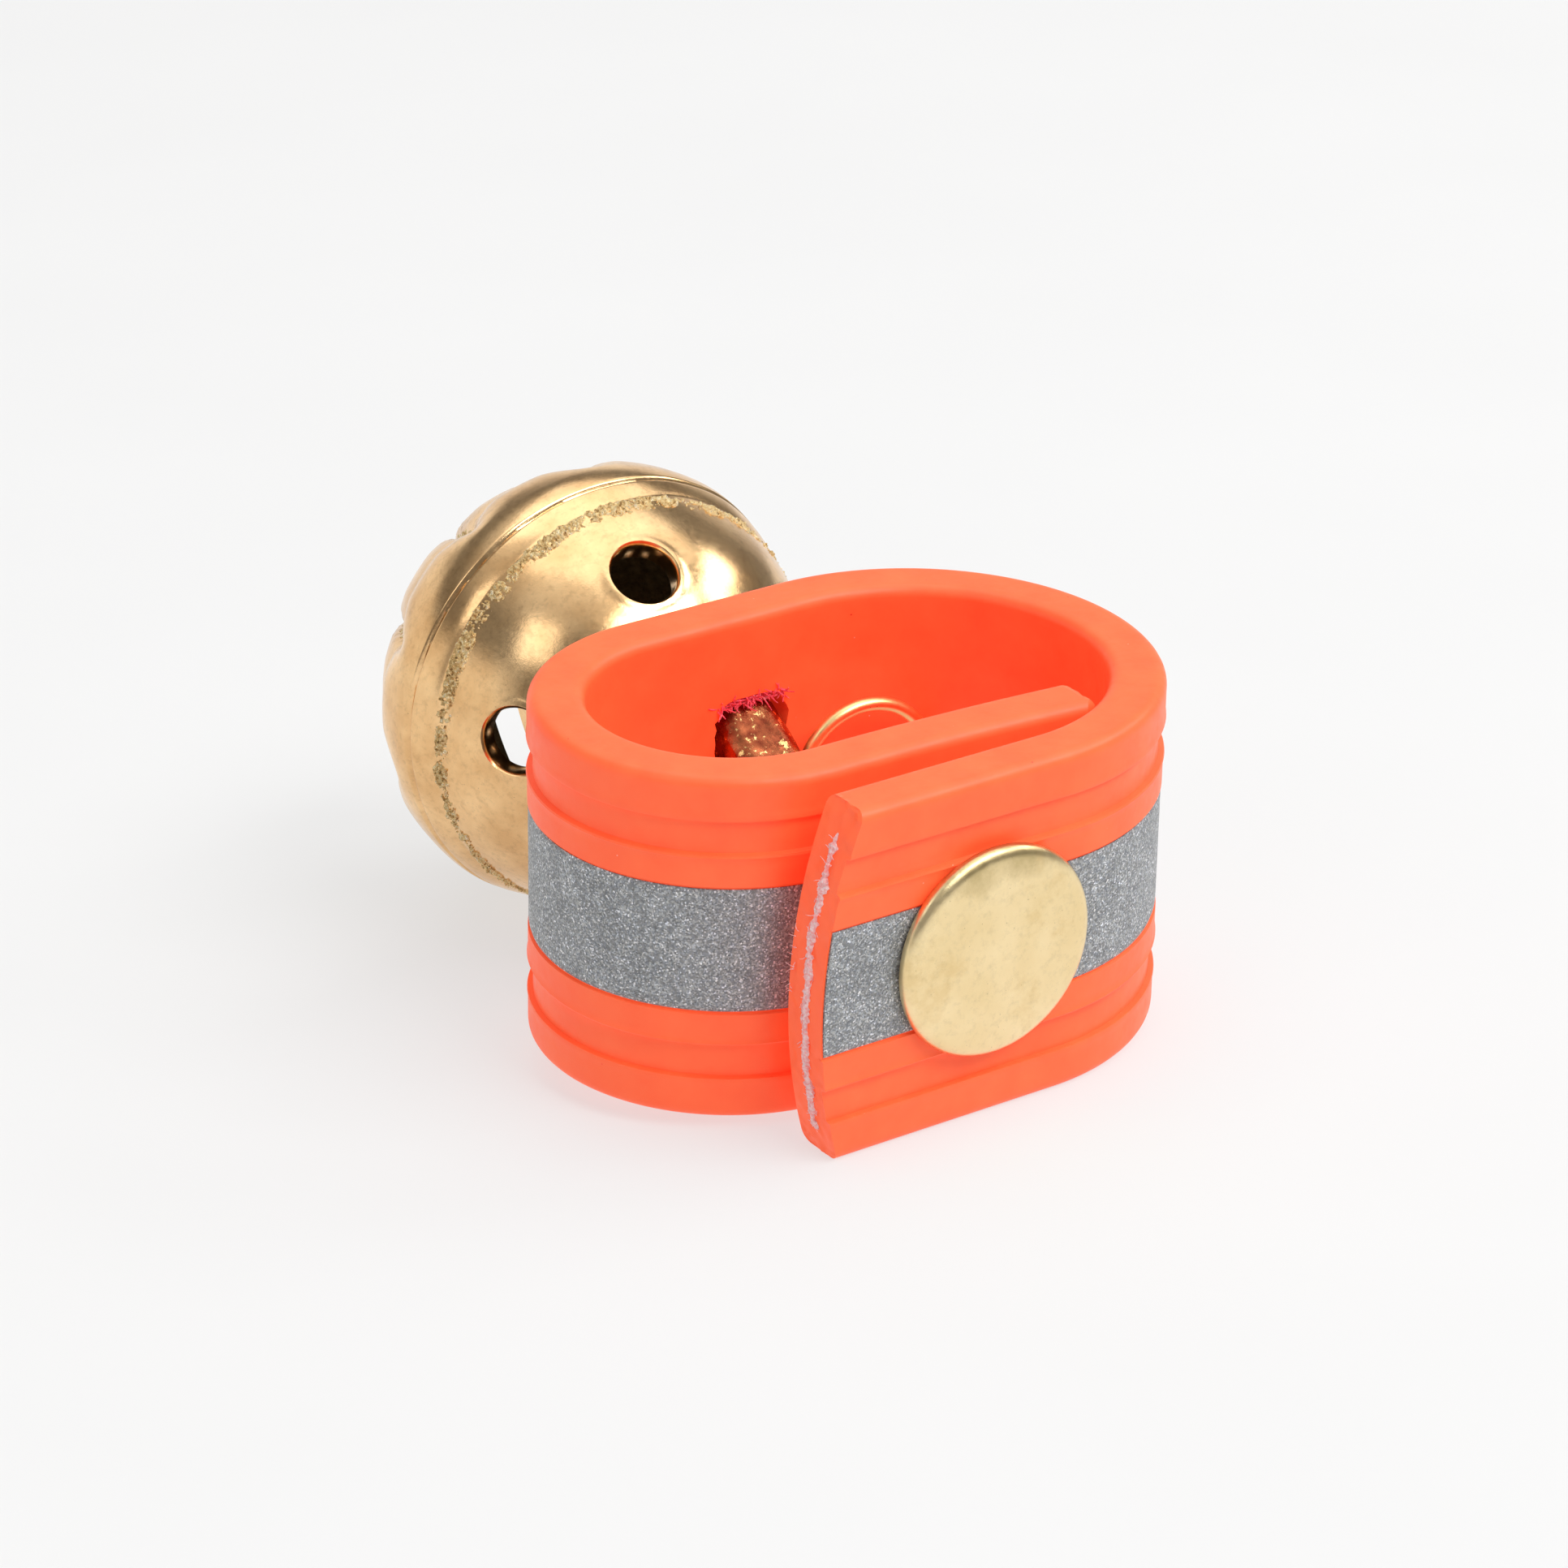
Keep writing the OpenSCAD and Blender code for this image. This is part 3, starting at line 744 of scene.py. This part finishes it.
def cap_profile():
    """From the middle of the face, over the rolled rim, to the flat back and its barrel."""
    r = CAP_D / 2
    profile = [(r * 0.84 * i / 24, CAP_H + 0.02 - 0.20 * (i / 24) ** 3) for i in range(25)]
    for i in range(1, 13):
        a = math.radians(84 - 84 * i / 12)
        profile.append((r - 1.12 + 1.12 * math.cos(a), CAP_H - 0.98 + 0.80 * math.sin(a)))
    for i in range(1, 9):
        a = math.radians(-90 * i / 8)
        profile.append((r - 0.4 + 0.4 * math.cos(a), CAP_H - 0.98 + 0.4 * math.sin(a)))
    profile += [(r - 0.75, 0.02), (r - 0.9, 0.03), (r - 0.95, 0.5), (2.4, 0.6)]
    profile += [(2.0, 0.0), (1.9, -4.1), (0, -4.1)]
    return profile


snap_cap = lathe("snap_cap_face", cap_profile(), SNAP, cap_brass, steps=192)
for v in snap_cap.data.vertices:
    local = SNAP.inverted() @ v.co
    if local.z > 0.3:
        dent = 0.025 * noise.noise(Vector((local.x * 0.3, local.y * 0.3, 2.0)))
        v.co = SNAP @ Vector((local.x, local.y, local.z + dent))

# ---- Bell ----

BELL_R, BELL_IN, BOWL_R, BOWL_IN = 15.8, 14.0, 15.0, 13.4
BEAD_R, SHOULDER_R, BEAD_AT = 16.4, 6.0, 91.0
CROWN_EDGE = 75.0
HOLE_AT, HOLE_D, HOLES, FIRST_HOLE = 54.0, 4.7, 5, 26.0
SLIT_W, SLIT_END_D, SLIT_END_AT = 3.0, 5.8, 112.0
PETALS, PETAL_STEP, FIRST_LINE = 10, 36, 87


def polar(r, at, clock):
    a, c = math.radians(at), math.radians(clock)
    return Vector((r * math.sin(a) * math.cos(c), r * math.sin(a) * math.sin(c), r * math.cos(a)))


def hole_distance(p):
    """Distance to the nearest sound hole's axis."""
    best = 99.0
    for i in range(HOLES):
        axis = polar(1, HOLE_AT, FIRST_HOLE + i * 360 / HOLES)
        along = p.dot(axis)
        if along > 0:
            best = min(best, (p - axis * along).length)
    return best


def crown_outer(at, clock):
    p = polar(BELL_R, at, clock)
    d = hole_distance(p)
    r = BELL_R + 0.05 * noise.noise(p * 0.16)
    r += 0.10 * math.exp(-(((d - HOLE_D / 2 - 0.35) / 0.35) ** 2)) if d < 5 else 0
    return r


def seam_line(clock):
    """Where the brazed ridge runs; it wanders across the joint."""
    c = math.radians(clock)
    wander = noise.noise(Vector((3 * math.cos(c), 3 * math.sin(c), 4.2)))
    return 75.4 + 0.9 * math.cos(c - math.radians(175)) + wander


def groove_line(clock):
    """Where the groove beside the bead runs: nearer the crown at the top of the bell."""
    return 86.6 - 2.1 * max(0.0, math.cos(math.radians(clock - 92))) ** 2


def shoulder(at):
    """The bead's rounded shoulder, as a distance from the bell's middle."""
    d = math.radians(at - BEAD_AT)
    centre = BEAD_R - SHOULDER_R
    under = SHOULDER_R ** 2 - (centre * math.sin(d)) ** 2
    return centre * math.cos(d) + math.sqrt(under) if under > 0 else 0.0


def bowl_outer(at, clock):
    start = 15.72
    if at < BEAD_AT:
        r = max(start, shoulder(at))
        r += (start - r) * (1 - smooth_step(77, 80, at)) * 0.5
    else:
        a, b = shoulder(at), BOWL_R
        k = 0.35
        h = max(k - abs(a - b), 0) / k
        r = max(a, b) + h * h * k * 0.25
    groove = groove_line(clock)
    r -= 0.30 * math.exp(-(((at - groove) / 0.55) ** 2))
    # Petals: broad lobes parted by recessed lines, fading towards the slit's pole
    petal = (clock - FIRST_LINE) % PETAL_STEP - PETAL_STEP / 2
    reach = smooth_step(93, 108, at) * (1 - smooth_step(140, 165, at))
    from_line = PETAL_STEP / 2 - abs(petal)
    width = 3.6 * (0.8 + 0.4 * noise.noise(Vector((clock * 0.05, at * 0.05, 0.0))))
    r -= 0.85 * reach * math.exp(-((from_line / width) ** 2))
    r += 0.42 * reach * (1 - smooth_step(108, 135, at)) * smooth_step(3, 12, from_line)
    p = polar(BOWL_R, at, clock)
    r += 0.06 * noise.noise(p * 0.22)
    rough = reach * math.exp(-((from_line / (width * 1.5)) ** 2))
    r += 0.10 * rough * noise.fractal(p * 2.0, 0.7, 2.0, 4)
    return r


def shell(name, outer, inner_r, angles, clocks, pole_first):
    """A bell half: outer skin, inner skin and the edge between them, with a point at its pole."""
    rows = len(angles)
    verts = [polar(outer(a, c), a, c) for a in angles for c in clocks]
    verts += [polar(inner_r(a), a, c) for a in angles for c in clocks]
    count = len(clocks)
    outer_faces = grid_faces(rows, count, closed=True)
    inner_faces = [f[::-1] for f in grid_faces(rows, count, closed=True, first=rows * count)]
    pole_at = 0.0 if pole_first else 180.0
    verts.append(polar(outer(pole_at, 0), pole_at, 0))
    verts.append(polar(inner_r(pole_at), pole_at, 0))
    outer_pole, inner_pole = len(verts) - 2, len(verts) - 1
    near = 0 if pole_first else (rows - 1) * count
    far = (rows - 1) * count if pole_first else 0
    shift = rows * count
    edge = []
    for j in range(count):
        k = (j + 1) % count
        if pole_first:
            outer_faces.append((outer_pole, near + k, near + j))
            inner_faces.append((inner_pole, shift + near + j, shift + near + k))
            edge.append((far + j, far + k, shift + far + k, shift + far + j))
        else:
            outer_faces.append((outer_pole, near + j, near + k))
            inner_faces.append((inner_pole, shift + near + k, shift + near + j))
            edge.append((far + k, far + j, shift + far + j, shift + far + k))
    faces = outer_faces + edge + inner_faces
    obj = make(name, verts, faces, BELL, bell_brass, 35)
    obj.data.materials.append(inside_brass)
    for polygon in obj.data.polygons[len(outer_faces):]:
        polygon.material_index = 1
    return make_solid(obj)


def drill(name, radius, at, clock, flare, surface_r):
    """A round cutter through the wall whose outer end flares, so that the hole's rim is chamfered."""
    axis = polar(1, at, clock)
    place = BELL @ axis.to_track_quat("Z", "Y").to_matrix().to_4x4()
    profile = [(radius, BOWL_IN - 2.5), (radius, surface_r - flare * 1.4),
               (radius + flare * 0.35, surface_r - flare * 0.75), (radius + flare, surface_r - 0.05),
               (radius + flare * 1.6, surface_r + 0.6), (radius + flare * 1.6, surface_r + 3)]
    return lathe(name, profile, place, bell_brass, steps=64)


CLOCKS = [360 * i / 320 for i in range(320)]
crown_angles = [2.0 + (CROWN_EDGE + 0.6 - 2.0) * i / 84 for i in range(85)]
bowl_angles = [CROWN_EDGE + 0.6 + 22 * i / 72 for i in range(73)]
bowl_angles += [bowl_angles[-1] + (178.0 - bowl_angles[-1]) * i / 90 for i in range(1, 91)]
crown = shell("bell_crown_skin", crown_outer, lambda a: BELL_IN, crown_angles, CLOCKS, True)
cut(crown, [drill(f"hole_{i}", HOLE_D / 2, HOLE_AT, FIRST_HOLE + i * 360 / HOLES, 0.42, BELL_R + 0.1)
            for i in range(HOLES)])
bowl = shell("bell_bowl_skin", bowl_outer, lambda a: BOWL_IN, bowl_angles, CLOCKS, False)
slit_low = BOWL_R * math.cos(math.radians(SLIT_END_AT))
half = SLIT_W / 2
slit_box = [(x, y, z) for x in (-half, half) for y in (-30, 30) for z in (slit_low, -30)]
slit_faces = [(0, 1, 3, 2), (4, 6, 7, 5), (0, 4, 5, 1), (2, 3, 7, 6), (0, 2, 6, 4), (1, 5, 7, 3)]
slit_cutter = make("slit_cutter", slit_box, slit_faces, BELL, bell_brass)
# The slit is cut before its end holes: in the other order the solver leaves planes of the cutters behind
cut(bowl, [slit_cutter, drill("slit_end_down", SLIT_END_D / 2, SLIT_END_AT, 270, 0.25, BOWL_R + 0.2),
           drill("slit_end_up", SLIT_END_D / 2, SLIT_END_AT, 90, 0.25, BOWL_R + 0.2)])
for half_bell in (crown, bowl):
    half_bell.data.set_sharp_from_angle(angle=math.radians(35))


def seam_ridge():
    """The brazed ridge: a rough raised strip round the bell, sunk into the wall at both edges."""
    rows, cols = 16, 1400
    verts = []
    for i in range(rows + 1):
        v = i / rows * 2 - 1
        for j in range(cols):
            clock = 360 * j / cols
            c = math.radians(clock)
            around = Vector((math.cos(c), math.sin(c), 0)) * BELL_R
            faint = 0.5 - 0.5 * math.cos(c - math.radians(120))
            width = 3.3 - 1.2 * faint + 1.1 * noise.noise(around * 0.5)
            width += 0.8 * noise.noise(around * 1.6 + Vector((0, 0, 3)))
            width = max(width, 0.7)
            at = seam_line(clock) + v * width
            p = polar(BELL_R, at, clock)
            lump = noise.fractal(p * 1.5, 0.6, 2.0, 5)
            grit = noise.fractal(p * 4.5, 0.6, 2.0, 3)
            patch = noise.noise(around * 0.7 + Vector((5, 1, 2)))
            gap = smooth_step(0.12 - 0.45 * faint, 0.42 - 0.30 * faint, patch)
            height = (1 - v ** 4) * (0.10 + 0.22 * lump + 0.20 * grit) - 0.14 * abs(v) ** 3 - 0.16 * gap
            base = BELL_R - 0.08 * smooth_step(76, 80, at)
            verts.append(polar(base + height, at, clock))
    faces = grid_faces(rows + 1, cols, closed=True)
    return verts, faces


verts, faces = seam_ridge()
seam = make("braze_ridge", verts, faces, BELL, braze, 70)


def recess_scale():
    """Bright rough metal left in the bowl's recessed lines."""
    parts = []
    rows, cols = 60, 10
    for k in range(PETALS):
        clock_mid = FIRST_LINE + PETAL_STEP * k
        verts = []
        for i in range(rows + 1):
            at = 104 + 44 * i / rows
            for j in range(cols + 1):
                v = j / cols * 2 - 1
                wide = 2.3 + 1.6 * noise.noise(Vector((at * 0.25, k * 3.1, 0)))
                clock = clock_mid + v * max(wide, 0.5) + 1.4 * noise.noise(Vector((at * 0.12, k * 1.7, 2)))
                p = polar(BOWL_R, at, clock)
                lump = 0.10 + 0.12 * noise.fractal(p * 2.6, 0.6, 2.0, 4) - 0.22 * abs(v) ** 3
                lump -= 0.3 * (1 - smooth_step(104, 107, at)) + 0.3 * smooth_step(142, 148, at)
                verts.append(polar(bowl_outer(at, clock) + lump - 0.03, at, clock))
        parts.append((verts, grid_faces(rows + 1, cols + 1)))
    return parts


def clear_of_slit(points):
    """Whether a face with these corners lies outside the slit and its end holes."""
    ends = [polar(p.length, SLIT_END_AT, 90 if p.y > 0 else 270) for p in points]
    beside = all(abs(p.x) > half + 0.1 for p in points)
    return beside and all((p - end).length > SLIT_END_D / 2 + 0.4 for p, end in zip(points, ends))


scale_parts = []
for part_verts, part_faces in recess_scale():
    kept_faces = [f for f in part_faces if clear_of_slit([part_verts[i] for i in f])]
    scale_parts.append((part_verts, kept_faces))
bowl_scale = joined("bowl_scale", scale_parts, BELL, braze, 70)
bm = bmesh.new()
bm.from_mesh(bowl_scale.data)
bmesh.ops.delete(bm, geom=[v for v in bm.verts if not v.link_faces], context="VERTS")
bm.to_mesh(bowl_scale.data)
bm.free()

# The lug: a tapered plate from the crown through the slot, round at its end, with the pin's hole
LUG_ROOT, LUG_SHOULDER, LUG_EYE, LUG_FLANK = 14.6, 19.4, 22.0, 27
LUG_H, LUG_T, LUG_TIP_T, LUG_R, PIN_YAW, PIN_TILT = 12.8, 5.2, 4.6, 3.6, 8.0, 4.0


def lug_outline():
    """Points (across, out from the bell) from one root corner over the eye to the other."""
    flank = [(LUG_H / 2, LUG_ROOT), (LUG_H / 2, LUG_SHOULDER - 0.6), (LUG_H / 2 - 0.25, LUG_SHOULDER + 0.1)]
    points = [(-y, z) for y, z in flank]
    for i in range(33):
        a = math.radians(180 - LUG_FLANK - (180 - 2 * LUG_FLANK) * i / 32)
        points.append((LUG_R * math.cos(a), LUG_EYE + LUG_R * math.sin(a)))
    points += flank[::-1]
    fine = []
    for (y0, z0), (y1, z1) in zip(points, points[1:]):
        steps = max(1, round(math.hypot(y1 - y0, z1 - z0) / 0.5))
        fine += [(y0 + (y1 - y0) * i / steps, z0 + (z1 - z0) * i / steps) for i in range(steps)]
    return fine + [points[-1]]


def lug_mesh():
    outline = lug_outline()
    verts, rings = [], 12
    for i in range(rings + 1):
        v = i / rings * 2 - 1
        for y, z in outline:
            thick = LUG_T + (LUG_TIP_T - LUG_T) * (z - LUG_ROOT) / (LUG_EYE + LUG_R - LUG_ROOT)
            shrink = 1 - 0.20 * abs(v) ** 4
            dent = 0.09 * noise.noise(Vector((v * 2, y * 0.6, z * 0.6)))
            centre = LUG_EYE if z > LUG_EYE else z
            verts.append((v * thick / 2, y * shrink + dent, centre + (z - centre) * shrink))
    count = len(outline)
    faces = grid_faces(rings + 1, count, closed=True)
    faces += [tuple(range(count))[::-1], tuple(range(rings * count, (rings + 1) * count))]
    return verts, faces


verts, faces = lug_mesh()
lug = make("lug", verts, faces, BELL, lug_brass, 40)
eye_place = PLACE @ Matrix.Translation((0, BELL_Y - LUG_EYE, SLOT_Z))
bore_place = eye_place @ Matrix.Rotation(math.radians(-PIN_YAW), 4, "Z")
pin_place = bore_place @ Matrix.Rotation(math.radians(-PIN_TILT), 4, "Y")
along_pin = bore_place @ Matrix.Rotation(math.radians(90), 4, "Y")
bore_half = [(1.65, 1.9), (1.9, 2.5), (2.2, 4)]
bore_profile = [(r, -x) for r, x in reversed(bore_half)] + bore_half
bore = lathe("pin_bore", bore_profile, along_pin, lug_brass, 48)
cut(lug, [bore])
lug.data.set_sharp_from_angle(angle=math.radians(40))

# ---- Retaining pin: a wire loop whose two legs pass through the lug and spread ----

WIRE_R, LEG_Z, NECK_R, LOOP_R, NECK_X, LEG_X, LEG_BEND = 0.5, 0.55, 1.0, 4.9, 2.0, -3.0, 1.2


def pin_path():
    neck_z = LEG_Z + NECK_R
    loop_x = NECK_X + math.sqrt((LOOP_R + NECK_R) ** 2 - neck_z ** 2)
    neck_turn = math.degrees(math.atan2(neck_z, loop_x - NECK_X))
    half_path = []
    for i in range(13):
        a = math.radians(180 + 90 * i / 12)
        half_path.append((LEG_X + LEG_BEND * math.cos(a), LEG_Z + LEG_BEND + LEG_BEND * math.sin(a)))
    half_path.append((0.0, LEG_Z))
    for i in range(13):
        a = math.radians(-90 + (90 - neck_turn) * i / 12)
        half_path.append((NECK_X + NECK_R * math.cos(a), neck_z + NECK_R * math.sin(a)))
    for i in range(1, 61):
        a = math.radians(180 - neck_turn - (180 - neck_turn) * i / 60)
        half_path.append((loop_x + LOOP_R * math.cos(a), LOOP_R * math.sin(a)))
    whole = half_path + [(x, -z) for x, z in reversed(half_path[:-1])]
    return [(x, 0.05 * noise.noise(Vector((x * 0.4, z * 0.4, 0))), z) for x, z in whole]


pin_verts, pin_faces = tube(pin_path(), WIRE_R, 20)
pin = make("pin_wire", pin_verts, pin_faces, pin_place, pin_brass, 50)

# ---- Riding and replacing ----

RIDING = (
    (strap_loop, "strap", "coating"), (tape_loop, "strap", "tape"), (slot_fibres, "strap", "webbing"),
    (flap_core, "flap", "webbing"), (snap_cap, "flap", "stud_brass"), (crown, "bell", "bell_brass"),
    (bowl, "bell", "bell_brass"), (seam, "bell", "braze"), (bowl_scale, "bell", "braze"),
    (lug, "bell", "bell_brass"), (pin, "pin", "pin_brass"))
for obj, body, slot in RIDING:
    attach(obj, body)
for obj, slot in ((strap_wrap, "coating"), (tape_wrap, "tape")):
    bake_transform(obj)
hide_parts("strap_band", "core_band")
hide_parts("strap_flap", "core_flap")
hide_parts("tape_left")
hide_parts("tape_right", "tape_flap")
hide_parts("snap_cap")
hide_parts("bell_crown")
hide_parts("bell_bowl")
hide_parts("braze_seam")
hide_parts("retaining_pin")
SHOWN_NODES = {"snap_socket": cap_brass, "snap_stud": cap_brass, "stud_eyelet": cap_brass,
               "socket_spring": steel, "pellet": steel}
for name, material in SHOWN_NODES.items():
    node = frame["nodes"][name]
    node.data.materials.clear()
    node.data.materials.append(material)
    for polygon in node.data.polygons:
        polygon.use_smooth = True

# ---- Floor, light and camera ----


def floor():
    """The pale paper under the part."""
    size = 6.0
    corner = [(-size, -size, 0), (size, -size, 0), (size, size, 0), (-size, size, 0)]
    mesh = bpy.data.meshes.new("floor")
    mesh.from_pydata(corner, [], [(0, 1, 2, 3)])
    n = Nodes("floor", Roughness=0.75, Emission_Strength=0.60)
    n.shader.inputs["Specular IOR Level"].default_value = 0.1
    n.shader.inputs["Emission Color"].default_value = (1, 1, 1, 1)
    paper = n.ramp(n.noise(0.02, 2), (0.3, (0.26, 0.26, 0.26)), (0.7, (0.27, 0.27, 0.27)))
    mesh.materials.append(n.set(Base_Color=paper))
    obj = add_object("floor", mesh)


def softbox(name, azimuth, elevation, distance, width, height, power, colour=(1, 1, 1)):
    """A rectangular area light that faces the object; azimuth 0 is the front, 90 the right."""
    a, e = math.radians(azimuth), math.radians(elevation)
    back = Vector((math.sin(a) * math.cos(e), -math.cos(a) * math.cos(e), math.sin(e)))
    light = bpy.data.lights.new(name, "AREA")
    light.shape = "RECTANGLE"
    light.size, light.size_y = width, height
    light.energy, light.color = power, colour
    obj = add_object(name, light)
    obj.location = Vector((0, 0.01, 0.015)) + back * distance
    obj.rotation_euler = (-back).to_track_quat("-Z", "Y").to_euler()


floor()
softbox("front_box", 20, 46, 1.0, 0.85, 0.38, 6.8)
softbox("right_box", 76, 33, 1.1, 0.50, 0.26, 2.4)
softbox("top_box", 120, 75, 1.2, 1.3, 1.3, 5.0)
softbox("left_box", -70, 39, 1.2, 0.42, 0.42, 0.9)


def studio_world():
    """A bright sweep low behind, a dark room and a soft ceiling; the camera sees the pale backdrop."""
    studio = bpy.data.worlds.new("studio")
    studio.use_nodes = True
    nodes, links = studio.node_tree.nodes, studio.node_tree.links
    direction = nodes.new("ShaderNodeTexCoord").outputs["Generated"]

    def shade(axis, *stops):
        along = nodes.new("ShaderNodeVectorMath")
        along.operation = "DOT_PRODUCT"
        along.inputs[1].default_value = axis
        ramp = nodes.new("ShaderNodeValToRGB")
        for element, (position, value) in zip(ramp.color_ramp.elements, stops):
            element.position = position
            element.color = (value, value * 0.99, value * 0.97, 1)
        links.new(direction, along.inputs[0])
        links.new(along.outputs["Value"], ramp.inputs["Fac"])
        return ramp.outputs["Color"]

    def mixed(blend, factor, a, b):
        node = nodes.new("ShaderNodeMix")
        node.data_type, node.blend_type = "RGBA", blend
        for socket, value in ((node.inputs[0], factor), (node.inputs[6], a), (node.inputs[7], b)):
            if isinstance(value, bpy.types.NodeSocket):
                links.new(value, socket)
            else:
                socket.default_value = value
        return node.outputs[2]

    behind = shade((-0.35, 0.94, 0.0), (0.0, 0.0), (0.35, 0.72))
    low = shade((0, 0, 1), (0.32, 1.0), (0.46, 0.0))
    ceiling = shade((0, 0, 1), (0.66, 0.0), (0.92, 0.60))
    room = mixed("ADD", 1.0, mixed("MULTIPLY", 1.0, behind, low), ceiling)
    room = mixed("ADD", 1.0, room, (0.20, 0.198, 0.194, 1))
    seen = nodes.new("ShaderNodeLightPath").outputs["Is Camera Ray"]
    links.new(mixed("MIX", seen, room, (0.93, 0.93, 0.93, 1)), nodes["Background"].inputs["Color"])
    return studio


bpy.context.scene.world = studio_world()
bpy.context.scene.view_settings.view_transform = "Standard"

CAMERA_AT = Vector((-194.487, -272.528, 177.933))
CAMERA_RIGHT = Vector((0.82360, -0.56696, 0.01547))
CAMERA_UP = Vector((0.23558, 0.36677, 0.89999))
camera = bpy.data.cameras.new("camera")
camera.sensor_width = 36
camera.lens = 125.64
camera.clip_start, camera.clip_end = 0.01, 20
camera_object = add_object("camera", camera)
axes = Matrix((CAMERA_RIGHT, CAMERA_UP, CAMERA_RIGHT.cross(CAMERA_UP))).transposed().to_4x4()
camera_object.matrix_world = Matrix.Translation(PLACE @ CAMERA_AT) @ turn @ axes
bpy.context.scene.camera = camera_object
